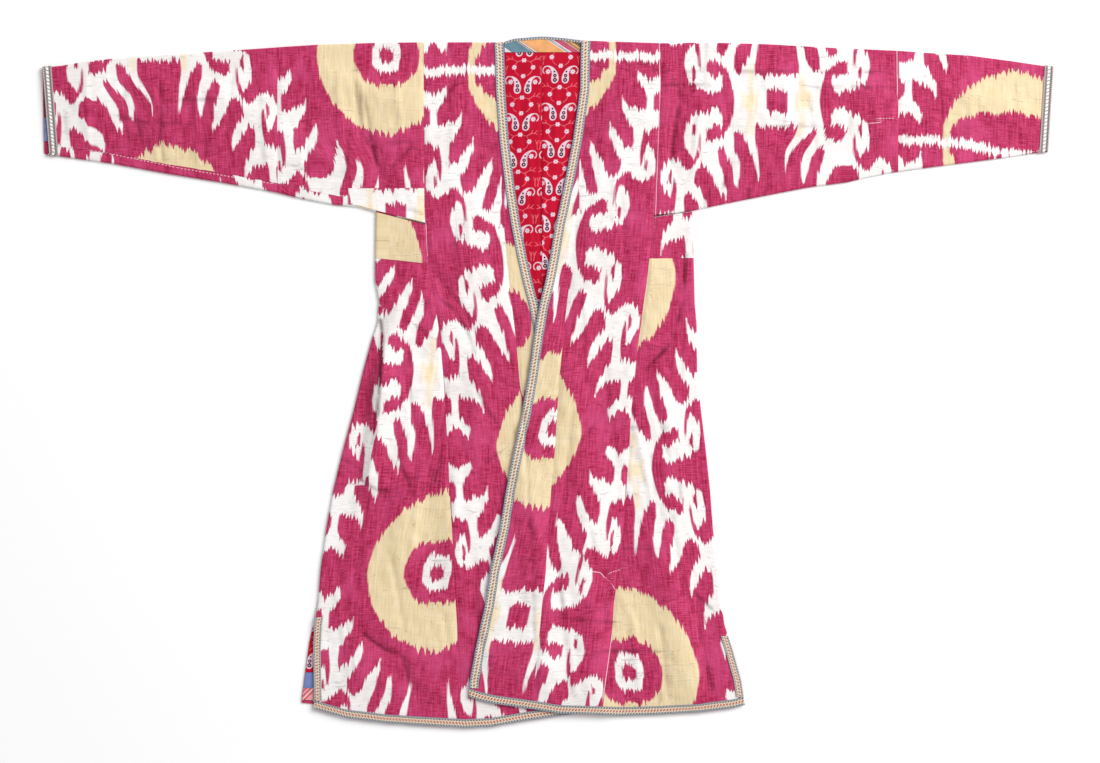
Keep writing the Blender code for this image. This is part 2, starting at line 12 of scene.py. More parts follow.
import bpy
import numpy as np
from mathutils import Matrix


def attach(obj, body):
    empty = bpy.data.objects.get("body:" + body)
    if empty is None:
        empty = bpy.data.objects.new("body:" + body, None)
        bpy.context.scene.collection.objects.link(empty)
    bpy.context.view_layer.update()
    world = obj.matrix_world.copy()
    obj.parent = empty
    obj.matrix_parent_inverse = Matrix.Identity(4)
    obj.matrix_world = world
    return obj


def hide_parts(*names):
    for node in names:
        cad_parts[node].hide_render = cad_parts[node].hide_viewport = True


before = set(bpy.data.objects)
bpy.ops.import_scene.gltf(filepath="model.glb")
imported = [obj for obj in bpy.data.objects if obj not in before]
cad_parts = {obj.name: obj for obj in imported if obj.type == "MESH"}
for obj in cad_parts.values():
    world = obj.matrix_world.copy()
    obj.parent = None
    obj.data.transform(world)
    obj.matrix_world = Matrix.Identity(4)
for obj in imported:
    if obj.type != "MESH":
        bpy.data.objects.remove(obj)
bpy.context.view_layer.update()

# %% [markdown]
# Camera, floor and light
#
# The robe was photographed from straight above, in soft, very bright light on white. A long lens far
# up keeps the flat cloth free of perspective. A white world fills the shadows, and one large soft box
# low on the right gives the folds their shade.

# %% Camera over the robe
MM = 0.001
FRAME_WIDTH = 1815 * MM
ROBE_MIDDLE = (3.6 * MM, 0.8 * MM)
LENS, SENSOR = 100, 36
bpy.ops.object.select_all(action="DESELECT")
bpy.ops.object.camera_add(location=(*ROBE_MIDDLE, FRAME_WIDTH * LENS / SENSOR), rotation=(0, 0, 0))
camera = bpy.context.object
camera.data.lens, camera.data.sensor_width = LENS, SENSOR
bpy.context.scene.camera = camera
print("camera stands", round(camera.location.z, 2), "m up")

# %% Read a colour
HEX_RED, HEX_GREEN, HEX_BLUE = 1, 3, 5


def linear(hex_colour):
    """An sRGB hex colour as linear RGBA."""
    parts = [int(hex_colour[i:i + 2], 16) / 255 for i in (HEX_RED, HEX_GREEN, HEX_BLUE)]
    return (*[((c + 0.055) / 1.055) ** 2.4 if c > 0.04045 else c / 12.92 for c in parts], 1)


# %% Add a node


def add(tree, kind, inputs=(), output=0, **settings):
    """Add a shader node. inputs gives each socket, by name or number, a value or a node's output."""
    node = tree.nodes.new("ShaderNode" + kind)
    for key, value in settings.items():
        setattr(node, key, value)
    for socket, value in dict(inputs).items():
        if isinstance(value, bpy.types.NodeSocket):
            tree.links.new(value, node.inputs[socket])
        else:
            node.inputs[socket].default_value = value
    return node.outputs[output]


def new_material(name, roughness):
    made = bpy.data.materials.new(name)
    made.use_nodes = True
    shader = made.node_tree.nodes["Principled BSDF"]
    shader.inputs["Roughness"].default_value = roughness
    return made, made.node_tree, shader


# %% Floor and light
FLOOR_SIZE, FLOOR_GAP = 14, 0.3 * MM
WORLD_LIGHT = 0.53
SOFT_BOX_AT, SOFT_BOX_SIZE, SOFT_BOX_POWER = (4.6, 3.0, 5.0), 4.6, 545


def paper_material():
    """Matt white background paper: almost no gloss, and a faint tooth."""
    made, tree, shader = new_material("background_paper", 0.95)
    place_on_floor = add(tree, "TexCoord", output="Object")
    tooth = add(tree, "TexNoise", {"Vector": place_on_floor, "Scale": 350.0})
    tone = add(tree, "Mix", {"Factor": tooth, 6: linear("#FAFAFB"), 7: linear("#FFFFFF")}, 2,
               data_type="RGBA")
    tree.links.new(tone, shader.inputs["Base Color"])
    return made


bpy.ops.mesh.primitive_plane_add(size=FLOOR_SIZE, location=(0, 0, -FLOOR_GAP))
floor = bpy.context.object
floor.name = "floor"
floor.data.materials.append(paper_material())
world = bpy.data.worlds.new("white_studio")
world.use_nodes = True
world.node_tree.nodes["Background"].inputs["Color"].default_value = (1, 1, 1, 1)
world.node_tree.nodes["Background"].inputs["Strength"].default_value = WORLD_LIGHT
bpy.context.scene.world = world
bpy.context.scene.view_settings.view_transform = "Standard"
bpy.ops.object.light_add(type="AREA", location=SOFT_BOX_AT)
soft_box = bpy.context.object
soft_box.name = "soft_box"
soft_box.data.size, soft_box.data.energy = SOFT_BOX_SIZE, SOFT_BOX_POWER
soft_box.rotation_euler = (-soft_box.location).to_track_quat("-Z", "Y").to_euler()
print("soft box stands", round(soft_box.location.length, 1), "m away")

# %% [markdown]
# Sizes
#
# A tailor measures a laid garment from its middle line outwards and from the neck down. The tables
# below do the same, in millimetres. Heights are those of the middle of each cloth, over the floor.

# %% Sizes of the layers
WALL, THIN, SEAM = 2.0, 1.0, 0.6
BACK_MID, LINING_MID, FACING_MID, FRONT_MID = 1.0, 2.9, 4.3, 4.8
FOLD_RADIUS = (FRONT_MID - BACK_MID) / 2
TURN_ROOM = FOLD_RADIUS + WALL / 2
TAPE_LIFT, PATCH_LIFT, LAP_LIFT = 2.0, 1.9, 4.4
LENGTH = 1139.0
CENTRE_X, CENTRE_DROP = 0.48, 569.2
TAPE, VENT_TAPE, CUFF_TAPE, HEM_TAPE = 15.0, 12.0, 14.5, 14.0
LOFT, LOFT_START, LOFT_RUN = 4.0, 18.0, 60.0

# %% The body's outline
# Drop, then across at the left side, left body seam, left gore seam, left front edge, right front
# edge, right gore seam, right body seam and right side.
BODY = np.array([
    (8, -283, -204, -73.6, -73, 56, 55.4, 186, 237), (87, -283, -204, -71.6, -70, 54, 55, 186, 237),
    (170, -283, -203.6, -73, -64, 42, 54, 183, 237), (252, -283, -203.2, -76, -54, 26, 51, 178, 237),
    (290, -283, -202.6, -74, -48, 18, 48, 176, 238), (309, -283, -201.6, -72, -45, 13.5, 46.5, 174, 239),
    (365, -284, -198, -67, -34, 4, 41, 168, 241), (409, -284, -191, -63, -24, -5, 36, 163, 242),
    (442, -278, -185, -59, -15, -13, 32, 158, 243), (475, -280, -180, -55, -9, -19, 28, 154, 246),
    (508, -291, -176, -51, -4, -24, 25, 149, 246), (558, -305, -172, -47, 5, -31, 20, 145, 247),
    (615, -319, -168, -41, 14, -41, 16, 138, 253), (681, -337, -164, -36, 25, -55, 12, 134, 261),
    (747, -353, -161, -33, 35, -68, 6, 130, 268), (813, -365, -157, -30, 44, -79, 1, 125, 273),
    (879, -374, -154, -27, 52, -94, -3, 117, 281), (937, -379, -151, -25, 59, -103, -9, 109, 287),
    (970, -384, -149, -24, 63, -110, -12, 107, 292), (1011, -386, -148, -22, 67, -119, -16, 103, 305),
    (1061, -385, -147, -21, 72, -128, -21, 96, 319), (1114, -384, -146, -19, 77, -130, -25, 90, 327),
], float)

# %% Hems, sleeves and the back's sides
# Rows are (across, drop), but (drop, across) down the sides of the back.
HEM_LEFT = [(-386, 1107), (-331, 1123), (-266, 1131), (-204, 1135), (-136, 1139), (-93, 1137), (-42, 1128),
            (12, 1120), (78, 1112)]
HEM_RIGHT = [(-134, 1086), (-110, 1094), (-87, 1099), (-50, 1104), (-16, 1109), (21, 1115), (85, 1117),
             (120, 1119), (186, 1117), (252, 1113), (308, 1106), (328, 1101)]
HEM_BACK = [(-408, 1098), (-386, 1100), (-331, 1116), (-204, 1127), (-50, 1121), (12, 1112), (85, 1109),
            (252, 1105), (328, 1093)]
TOP = [(-833, 51), (-798, 48), (-753, 40), (-722, 37), (-601, 28), (-497, 21), (-443, 17), (-380, 13),
       (-285, 10), (-204, 9), (-73, 9), (56, 6), (186, 10.5), (263, 9.5), (356, 12), (466, 18), (578, 23),
       (618, 26), (695, 31), (761, 40), (821, 49), (834, 50)]
UNDER = {"left": [(-831, 194), (-813, 196), (-719, 209), (-626, 226), (-539, 240), (-450, 256), (-405, 267),
                  (-352, 277), (-311, 281), (-284, 289), (-203, 309)],
         "right": [(177, 297), (212, 292), (243, 287), (288, 277), (332, 268), (387, 257), (433, 248),
                   (494, 240), (532, 231), (567, 224), (603, 219), (666, 211), (761, 199), (813, 191),
                   (826, 190)]}
NECK = [(-72, 9), (-55, 3.5), (-14, 0), (-2, 0), (27, 2.5), (55, 6)]
BACK_SIDES = {
    "left": [(280, -279), (409, -279), (442, -273), (475, -275), (508, -286), (558, -300), (615, -314),
             (681, -332), (747, -348), (813, -360), (879, -369), (937, -374), (958, -376), (975, -388),
             (1000, -393), (1043, -399), (1090, -405), (1110, -406)],
    "right": [(280, 232), (409, 237), (475, 241), (558, 242), (615, 248), (681, 256), (747, 263), (813, 268),
              (879, 276), (937, 282), (970, 286), (1011, 296), (1061, 308), (1110, 316)]}
CUFF_DROPS = (51, 192)
CUFFS = {"left": ((-832, -821), (-833, -830)), "right": ((834, 825), (833, 824))}
SLEEVE_JOINS = {"left": -445.0, "right": 578.0}
SEAM_UP = 15.0

# %% Read a table, and step softly


def smooth(value):
    """A soft step from 0 to 1."""
    value = np.clip(value, 0, 1)
    return value * value * (3 - 2 * value)


def along(table, at):
    rows = sorted(table)
    return np.interp(at, [row[0] for row in rows], [row[1] for row in rows])


def body_x(column, drop):
    return np.interp(drop, BODY[:, 0], BODY[:, column])


print("at the waist the front is", round(float(body_x(8, 442) - body_x(1, 442))), "mm wide")

# %% [markdown]
# Folds and creases
#
# Cotton wadding between ikat and lining makes the robe swell softly away from its edges. Years in a
# chest left long folds and short creases. Each is one row: where it starts and ends, how high it
# stands (below 0 for a trough), and how far it runs out on its left and right side. A simulation
# could make such folds, but not these ones in these places, so they are set one by one.

# %% Folds that the solids have too
FOLDS = [
    (-275, 448, -284, 575, 8, 16, 70), (-284, 575, -292, 720, 7, 20, 70), (-219, 580, -243, 860, 4, 34, 40),
    (-179, 405, -131, 484, -3, 26, 26), (-172, 640, -150, 900, 4, 36, 34),
    (-301, 985, -227, 1071, -3, 26, 26), (-112, 560, -128, 800, 4, 34, 34), (45, 560, 88, 830, 5, 38, 42),
    (-34, 740, 2, 1080, 4, 30, 36), (60, 860, 70, 1090, 3, 40, 40), (178, 840, 235, 1090, 5, 44, 40),
    (255, 900, 271, 1068, -4, 24, 24), (200, 620, 214, 800, 3, 34, 34), (225, 366, 224, 434, -3, 24, 24),
    (224, 434, 163, 549, -3, 24, 24), (225, 60, 205, 205, -3, 24, 24), (304, 180, 290, 250, -3, 24, 24),
    (360, 60, 520, 90, 3, 36, 40), (620, 70, 760, 120, 2, 30, 34), (-639, 70, -630, 200, 2.5, 44, 44),
    (-318, 120, -276, 232, -3, 28, 28), (-380, 60, -240, 110, 3, 40, 40),
    (-560, 90, -450, 150, 2.5, 40, 40),
]

# %% Sharper creases that only the cloth has
CREASES = [
    # the pleat down the left side, and the creases at its foot
    (-275, 470, -272, 560, 2.4, 5, 22), (-272, 560, -281, 640, 2.2, 5, 24),
    (-281, 640, -292, 720, 1.6, 7, 22), (-262, 700, -232, 728, -1.5, 7, 9),
    (-296, 520, -300, 640, -1.0, 12, 10),
    # across the left front
    (-177, 404, -143, 446, -2.2, 6, 5), (-143, 446, -128, 475, -1.6, 6, 6),
    (-130, 300, -124, 392, 1.0, 9, 9), (-167, 566, -178, 700, -1.3, 9, 8),
    (-146, 690, -158, 840, 1.2, 11, 10), (-120, 880, -104, 1060, -1.2, 10, 9),
    (-236, 560, -214, 665, -1.4, 8, 8), (-205, 700, -224, 850, 1.4, 10, 10),
    (-258, 860, -240, 960, -1.2, 9, 9), (-345, 930, -322, 1050, 1.3, 10, 9),
    (-300, 770, -318, 890, -1.2, 9, 9), (-88, 640, -104, 780, 1.1, 9, 9),
    # the arc by the left hem
    (-301, 985, -281, 1001, -1.8, 7, 5), (-281, 1001, -260, 1013, -2.0, 6, 6),
    (-260, 1013, -240, 1026, -2.0, 6, 6), (-240, 1026, -233, 1040, -2.0, 6, 6),
    (-233, 1040, -227, 1071, -1.8, 6, 6), (-170, 960, -158, 1040, -1.0, 8, 8),
    # across the right front
    (228, 360, 225, 434, -2.4, 7, 5), (225, 434, 204, 505, -2.6, 8, 5),
    (204, 505, 163, 549, -2.4, 7, 6), (232, 470, 228, 560, 1.6, 9, 7), (170, 575, 196, 690, -1.3, 9, 9),
    (150, 660, 176, 780, 1.3, 10, 10), (60, 430, 76, 560, 1.2, 9, 10), (96, 560, 110, 690, -1.3, 9, 9),
    (40, 620, 26, 760, -1.2, 9, 9), (-20, 800, -6, 930, 1.3, 9, 9), (70, 820, 92, 960, -1.4, 10, 9),
    (30, 930, 44, 1070, 1.2, 10, 10), (205, 800, 219, 920, -1.4, 9, 9), (238, 830, 262, 960, 1.4, 9, 9),
    (253, 929, 257, 967, -1.8, 7, 6), (257, 967, 267, 992, -2.2, 7, 6),
    (267, 992, 270, 1043, -2.4, 7, 6), (270, 1043, 273, 1068, -1.8, 7, 6),
    (140, 960, 152, 1080, 1.2, 10, 10), (186, 980, 196, 1085, -1.2, 9, 9),
    (120, 260, 128, 380, -0.9, 9, 9), (96, 110, 88, 230, 0.9, 10, 10),
    (-150, 90, -160, 220, 0.9, 10, 10), (-110, 150, -122, 250, -0.8, 9, 9),
    # the right sleeve
    (225, 66, 219, 97, -2.4, 6, 5), (219, 97, 205, 200, -2.4, 7, 6), (304, 190, 293, 236, -2.4, 6, 5),
    (336, 236, 336, 267, -1.8, 5, 5), (252, 120, 240, 215, 1.4, 9, 9), (280, 60, 300, 150, -1.0, 9, 9),
    (390, 60, 396, 150, 1.2, 10, 10), (430, 120, 446, 220, -1.2, 8, 8), (500, 50, 494, 160, -1.0, 8, 8),
    (540, 110, 548, 200, 1.2, 9, 9), (640, 60, 650, 170, -1.0, 9, 9), (700, 80, 694, 180, 1.0, 9, 9),
    (770, 80, 762, 170, -0.9, 8, 8), (600, 120, 680, 132, -0.8, 6, 6),
    # the left sleeve
    (-639, 87, -637, 219, -2.0, 7, 7), (-318, 80, -312, 150, -2.0, 7, 6),
    (-300, 120, -282, 220, -1.8, 7, 6), (-345, 70, -338, 190, 1.2, 9, 9),
    (-400, 90, -396, 210, -1.1, 8, 8), (-470, 70, -462, 200, 1.1, 9, 9),
    (-520, 60, -528, 170, -1.1, 9, 9), (-580, 80, -574, 210, 1.1, 9, 9),
    (-700, 70, -694, 190, -1.1, 8, 8), (-760, 70, -756, 180, 1.0, 8, 8), (-250, 60, -240, 170, 1.0, 9, 9),
    (-430, 214, -330, 238, -1.2, 5, 5),
]

# %% How high the cloth stands


def distance_to_line(x, drop, line):
    """The shortest distance from each point to a line of joined points."""
    nearest = np.full(np.shape(x), 1e9)
    for (x0, d0), (x1, d1) in zip(line[:-1], line[1:]):
        run, fall = x1 - x0, d1 - d0
        t = np.clip(((x - x0) * run + (drop - d0) * fall) / (run * run + fall * fall), 0, 1)
        nearest = np.minimum(nearest, np.hypot(x - x0 - t * run, drop - d0 - t * fall))
    return nearest


def body_line(column, rows):
    return [(x, d) for d, x in BODY[rows][:, [0, column]]]


UPPER = BODY[:, 0] < 450
LOWER = BODY[:, 0] > 300
OUTLINE = [
    TOP, [(-832, 51), (-821, 194)], [(834, 50), (825, 190)],
    [p for p in UNDER["left"] if p[0] < -283], [p for p in UNDER["right"] if p[0] > 240],
    body_line(1, LOWER), body_line(8, LOWER), HEM_LEFT[:6], HEM_RIGHT,
    body_line(4, UPPER), body_line(5, UPPER),
]
SEAM_LINES = [
    *[body_line(column, BODY[:, 0] > 0) for column in (2, 3, 6, 7)],
    [(-445, 17), (-445, 258)], [(578, 23), (578, 222)], [(-284, 374), (-200, 374)], [(174, 366), (241, 366)],
    [(-831, 180), (-626, 211), (-405, 252), (-203, 294)],
]
SEAM_DIP, SEAM_RUN, CREASE_DEPTH = 1.6, 7, 1.5
FOLD_FADE, CREASE_FADE = 60, 24
FOLD_EDGE, FOLD_EDGE_RUN, CREASE_EDGE, CREASE_EDGE_RUN = 4, 30, 6, 24


def crease_height(x, drop, rows, fade):
    """Each crease's height at a point, faded over a length past its ends."""
    height = np.zeros(np.shape(x))
    for x0, d0, x1, d1, top, left, right in rows:
        run, fall = x1 - x0, d1 - d0
        length = math.hypot(run, fall)
        t = ((x - x0) * run + (drop - d0) * fall) / length**2
        off = ((x - x0) * fall - (drop - d0) * run) / length
        across = np.clip(1 - np.abs(off) / np.where(off < 0, left, right), 0, 1)
        height += top * smooth(across) * smooth(1 + t * length / fade) * smooth(1 + (1 - t) * length / fade)
    return height


# %% Small puckers between the creases
PUCKERS = [(64, 37, 0.35, 0.4), (23, 51, -0.8, 0.3), (90, 21, 0.15, 0.25), (31, 83, 1.2, 0.22),
           (14, 33, 0.5, 0.12)]


def puckers(x, drop):
    """Shallow waves of uneven length that cross: wavelength across and down, slant, height."""
    height = np.zeros(np.shape(x))
    for number, (across, down, slant, top) in enumerate(PUCKERS):
        swing = 5 * np.sin(x / (41 + 9 * number)) + 4 * np.sin(drop / (57 - 6 * number))
        wave = np.sin(2 * math.pi * (x + swing) / across + slant)
        height += top * wave * np.sin(2 * math.pi * (drop + swing) / down)
    return height


def rise(x, drop):
    """How far the front of the robe stands above its flat layer."""
    edge = np.min([distance_to_line(x, drop, line) for line in OUTLINE], axis=0)
    height = LOFT * smooth((edge - LOFT_START) / LOFT_RUN)
    height += crease_height(x, drop, FOLDS, FOLD_FADE) * smooth((edge - FOLD_EDGE) / FOLD_EDGE_RUN)
    fine = CREASE_DEPTH * crease_height(x, drop, CREASES, CREASE_FADE) + puckers(x, drop)
    height += fine * smooth((edge - CREASE_EDGE) / CREASE_EDGE_RUN)
    seam = np.min([distance_to_line(x, drop, line) for line in SEAM_LINES], axis=0)
    height -= SEAM_DIP * (1 - smooth(seam / SEAM_RUN))
    return np.maximum(height, 0)


LAP_START, LAP_RUN = 48, 34
TUCK_START, TUCK_RUN, TUCK_DROP, TUCK_DROP_RUN = 4, 30, 400, 60


def front_height(x, drop, right):
    """The middle of a front's cloth: the right front climbs over the left front's edge."""
    if right:
        return FRONT_MID + rise(x, drop) + LAP_LIFT * smooth((LAP_START - x + body_x(4, drop)) / LAP_RUN)
    tucked = smooth((x - body_x(5, drop) + TUCK_START) / TUCK_RUN)
    return FRONT_MID + rise(x, drop) * (1 - tucked * smooth((drop - TUCK_DROP) / TUCK_DROP_RUN))


pleat_height = float(rise(np.array(-270.0), np.array(540.0)))
print("the left pleat stands", round(pleat_height, 1), "mm over the flat layer")

# %% Place it in the frame


def place(x, drop, z):
    """Laid millimetres to metres in the robe's frame."""
    x, drop, z = np.broadcast_arrays(x, drop, z)
    return np.stack([(x - CENTRE_X) * MM, (CENTRE_DROP - drop) * MM, z * MM], axis=-1)


def laid(points):
    """Metres in the robe's frame back to across and drop."""
    return points[..., 0] / MM + CENTRE_X, CENTRE_DROP - points[..., 1] / MM


# %% [markdown]
# The ikat pattern
#
# Ikat is dyed before it is woven: bundles of warp threads are bound where no dye should reach. On the
# loom the bundles slip a little, so each shape ends in spikes along the warp. The pattern is charted
# on a quarter of its repeat, in steps of 1.65 mm: U across from the middle of the loom, V along the
# warp. It mirrors about U = 0, about each block and about each row of rings. It could be painted on
# an image. Outlines were chosen because their edges stay sharp from near by, and because the depth
# inside them is what the dye needs to fade and spike.

# %% Chart of the white figure, from the middle of its block
STEP = 1.65
HALF_REPEAT = 187
WHITE_FIGURE = [
    # the block, the notch beside it and the hook's band
    (-9, -9), (42.5, -9), (42.5, 0), (43.4, 11.5), (46, 20), (47.4, 25), (50, 30), (53, 34), (58, 38.5),
    (62.5, 41), (68, 41), (70.3, 38), (70.5, 29), (66, 27), (62.5, 24), (56, 25), (54.5, 22), (54.5, 15),
    (57.5, 8.5), (62, 7.5), (70, 10.5), (80, 13.5), (86, 17), (90, 24), (92.8, 35), (91.5, 45), (87, 52),
    (82.5, 56), (79.5, 47), (78.5, 36), (77, 30), (75.8, 36), (76.3, 48), (77.5, 57), (81, 62), (85, 67),
    # the spiral by the selvedge
    (88.8, 70), (91.2, 68), (97.6, 60.3), (105.6, 58.7), (113.5, 63.5), (116, 71), (116, 80), (112.7, 89),
    (106.3, 95.3), (104, 84), (103, 77), (101.5, 75), (100.3, 82), (100, 90), (100.8, 99.5),
    # the forked branch by the ring row
    (102.4, 109.3), (108.5, 110), (113, 114), (117.3, 111), (116.9, 127.7), (111.6, 132.3), (111.6, 143),
    (113, 148.3), (118, 150.6), (126, 150.6), (126, 169), (118, 169), (113.8, 165), (110, 160), (103, 165),
    (96.2, 172), (94.6, 162), (98.2, 155.5), (103.9, 149), (105.2, 143), (104.8, 131.5), (102.4, 129.2),
    (96.2, 131), (92.4, 134), (89.4, 133), (83.2, 138), (80, 145), (80.6, 131), (84, 125), (88.6, 117),
    # its stem, and the fingers
    (92.4, 112), (93.2, 99.5), (91.5, 92), (86, 93), (82, 97), (77, 105), (69.5, 117), (68.5, 108),
    (71, 99), (75.3, 90.6), (82.4, 79.4), (81.5, 72), (79, 65), (74, 63.5), (70.5, 65), (65.7, 73),
    (61.7, 82.6), (56, 91), (51, 98), (50, 90), (52.6, 82), (53.5, 72), (57.7, 63.5), (61, 50), (58, 46),
    (53, 45.5), (51.3, 47.5), (45.8, 62), (41.8, 78), (39, 84), (37.3, 75), (37, 62), (42.6, 46),
    (43.4, 30), (40, 29), (37, 30), (30.6, 38), (25.8, 52), (22, 64), (18.5, 80), (17.3, 74), (18.5, 62),
    (20, 50), (22.3, 36), (21.8, 25), (-9, 25.5),
]
DYED_IN_WHITE = [
    [(-9, -9), (10.5, -9), (10.5, 9.5), (7.5, 11.5), (-9, 12)],
    [(81, 22), (84.5, 22), (85, 33), (82.5, 35), (80.8, 31)],
    [(104.5, 70), (108.3, 71), (108.8, 80), (106, 82)],
]
LEAF_STAIN = [(19.5, -9), (20.5, 6), (23, 10), (24, 20), (24.2, 34), (27.3, 34), (27, 20), (28, 11), (33, 7),
              (34, -9)]

# %% Chart of the two rings, from the middle of each
WIDE_RING = [(-9, -9), (74, -9), (73, 18), (70, 25), (66, 33), (61, 41), (57, 47), (50, 54), (40, 62),
             (30, 68), (16, 75), (-9, 79)]
WIDE_RING_DYED = [(-9, -9), (67, -9), (67, 12), (62, 17), (59, 23), (56, 26), (45, 29), (28, 33), (-9, 37)]
RING = [(-9, -9), (70, -9), (69, 7), (65, 24), (58, 40), (49, 52), (40.5, 62), (30, 69), (16, 76), (-9, 80)]
RING_DYED = [(-9, -9), (33, -9), (33, 5), (30, 15), (22, 27), (10, 31), (-9, 32)]
RING_EYE = [(-9, -9), (14, -9), (14, 6), (11, 14), (6, 18), (-9, 18.5)]
RING_EYE_DYED = [(-9, -9), (7.5, -9), (7, 4), (4, 8), (-9, 9)]
ROW_LINE = [(-9, 1), (20, 1), (40, -3), (60, -4), (90, -4), (104, -2), (126, -3), (126, 5), (104, 6), (90, 4),
            (60, 4), (40, 6), (20, 9), (-9, 10)]

# %% Read the chart


def depth_in(u, v, corners):
    """How deep each point lies in a closed outline. Outside it, below 0."""
    nearest = np.full(u.shape, 1e9)
    inside = np.zeros(u.shape, bool)
    for (u0, v0), (u1, v1) in zip(corners, corners[1:] + corners[:1]):
        run, up = u1 - u0, v1 - v0
        t = np.clip(((u - u0) * run + (v - v0) * up) / (run * run + up * up), 0, 1)
        nearest = np.minimum(nearest, np.hypot(u - u0 - t * run, v - v0 - t * up))
        if up:
            inside ^= ((v0 > v) != (v1 > v)) & (u < run * (v - v0) / up + u0)
    return np.where(inside, nearest, -nearest)


def without(depth, *others):
    """The depth in one shape where others are cut out of it."""
    return np.min([depth, *[-other for other in others]], axis=0)


def read_chart(across, warp):
    """Depth in white, in yellow and in the pale leaf stain for places on the loom, in steps."""
    u = np.abs(across)
    signed_row = (warp + 2 * HALF_REPEAT) % (4 * HALF_REPEAT) - 2 * HALF_REPEAT
    row = np.abs(signed_row)
    other_row = 2 * HALF_REPEAT - row
    v = np.abs(row - HALF_REPEAT)
    figure = without(depth_in(u, v, WHITE_FIGURE), *[depth_in(u, v, dyed) for dyed in DYED_IN_WHITE])
    eye = without(depth_in(u, other_row, RING_EYE), depth_in(u, other_row, RING_EYE_DYED))
    white = np.max([figure, eye, depth_in(u, signed_row, ROW_LINE)], axis=0)
    wide = without(depth_in(u, row, WIDE_RING), depth_in(u, row, WIDE_RING_DYED))
    ring = without(depth_in(u, other_row, RING), depth_in(u, other_row, RING_DYED))
    return white, np.maximum(wide, ring), depth_in(u, v, LEAF_STAIN)


print("the pattern repeats every", round(4 * HALF_REPEAT * STEP), "mm along the warp")

# %% Painted shade along creases, and stitches
# Painted shade along pressed folds and crease bottoms: across and drop of both ends, and how dark it is.
CREASE_SHADE_LINES = [
    (180, 57, 570, 59, 0.5), (182, 79, 272, 80, 0.7), (430, 82, 572, 84, 0.5), (354, 149, 448, 148, 0.4),
    (224, 61, 214, 130, 1.0), (214, 130, 205, 201, 1.0), (262, 10, 260, 80, 0.4),
    (356, 62, 358, 103, 0.4), (300, 206, 290, 244, 0.6), (270, 244, 259, 279, 0.6),
    (332, 252, 332, 267, 0.8), (366, 244, 357, 259, 0.5), (-622, 105, -549, 104, 0.6),
    (-705, 131, -666, 141, 0.6), (-666, 141, -608, 143, 0.6), (-638, 81, -639, 176, 0.5),
    (-677, 137, -658, 193, 0.6), (-557, 109, -561, 193, 0.4), (-800, 90, -790, 170, 0.4),
    (-316, 13, -314, 81, 0.6), (-309, 83, -305, 143, 0.8), (-294, 155, -280, 211, 1.1),
    (-226, 184, -255, 216, 0.7), (-304, 175, -207, 174, 0.4), (-328, 165, -331, 240, 0.9),
    (-168, 102, -144, 68, 0.6), (58, 44, 184, 45, 0.5), (29, 708, 91, 620, 0.4),
    (138, 644, 222, 644, 0.6), (51, 960, 106, 965, 0.8), (51, 1011, 182, 1013, 0.8),
    (127, 843, 182, 845, 0.5), (237, 912, 270, 942, 0.8), (252, 985, 273, 1077, 0.8),
    (186, 1058, 186, 1095, 0.6), (-113, 588, -88, 632, 0.7), (-113, 712, -80, 686, 0.6),
    (-37, 785, -22, 818, 0.5), (-227, 517, -225, 572, 0.9), (-169, 438, -148, 454, 1.1),
    (-148, 454, -137, 477, 1.0), (-131, 487, -120, 521, 0.6), (-238, 711, -220, 755, 1.0),
    (-192, 743, -178, 711, 0.8), (-301, 734, -282, 746, 1.0), (-282, 746, -266, 748, 0.9),
    (-257, 665, -236, 672, 0.8), (-215, 477, -197, 491, 0.7), (-338, 695, -317, 706, 0.6),
    (-275, 468, -271, 497, 1.3), (-271, 497, -275, 574, 1.4), (-275, 574, -282, 645, 1.2),
    (-282, 645, -286, 669, 0.8), (-301, 985, -281, 1001, 1.0), (-281, 1001, -260, 1013, 1.1),
    (-260, 1013, -241, 1026, 1.1), (-241, 1026, -233, 1040, 1.0), (-233, 1040, -227, 1071, 0.9),
    (228, 360, 225, 434, 1.1), (225, 434, 204, 505, 1.1), (204, 505, 163, 549, 1.0),
    (-150, 320, -147, 395, 0.5), (110, 160, 106, 300, 0.4), (-170, 620, -178, 700, 0.6),
    (96, 570, 104, 660, 0.5), (172, 690, 180, 790, 0.5), (-120, 900, -110, 1010, 0.5),
    (-330, 960, -318, 1050, 0.5), (214, 700, 222, 780, 0.5), (20, 860, 26, 960, 0.5),
]
# Pale threads: across and drop of both ends, then the repeat of the stitches, or 0 for one thread.
THREADS = [
    (63, 880, 87, 883, 0), (87, 883, 93, 890, 0), (104, 883, 116, 879, 4), (108, 905, 110, 909, 0),
    (533, 143, 547, 142, 0), (547, 135, 571, 135, 5), (106, 985, 91, 1091, 0), (-752, 187, -677, 202, 6),
    (-677, 202, -610, 216, 6), (-610, 216, -516, 232, 6), (-516, 232, -455, 242, 6),
    (184.5, 9, 185, 107, 0), (185, 107, 178, 296, 0), (576, 24, 576, 94, 0), (-200, 310, -198, 361, 0),
]


def nearest_line(x, drop, rows):
    """The signed distance to the nearest row, the length run along it, and that row's last value."""
    nearest, signed = np.full(x.shape, 1e9), np.full(x.shape, 99.0)
    run_there, value = np.zeros(x.shape), np.zeros(x.shape)
    for x0, d0, x1, d1, last in rows:
        length = math.hypot(x1 - x0, d1 - d0)
        run, fall = (x1 - x0) / length, (d1 - d0) / length
        t = np.clip((x - x0) * run + (drop - d0) * fall, 0, length)
        distance = np.hypot(x - x0 - t * run, drop - d0 - t * fall)
        closer = distance < nearest
        side = np.where((x - x0) * fall - (drop - d0) * run < 0, -1, 1)
        signed = np.where(closer, side * distance, signed)
        run_there, value = np.where(closer, t, run_there), np.where(closer, last, value)
        nearest = np.minimum(nearest, distance)
    return signed, run_there, value


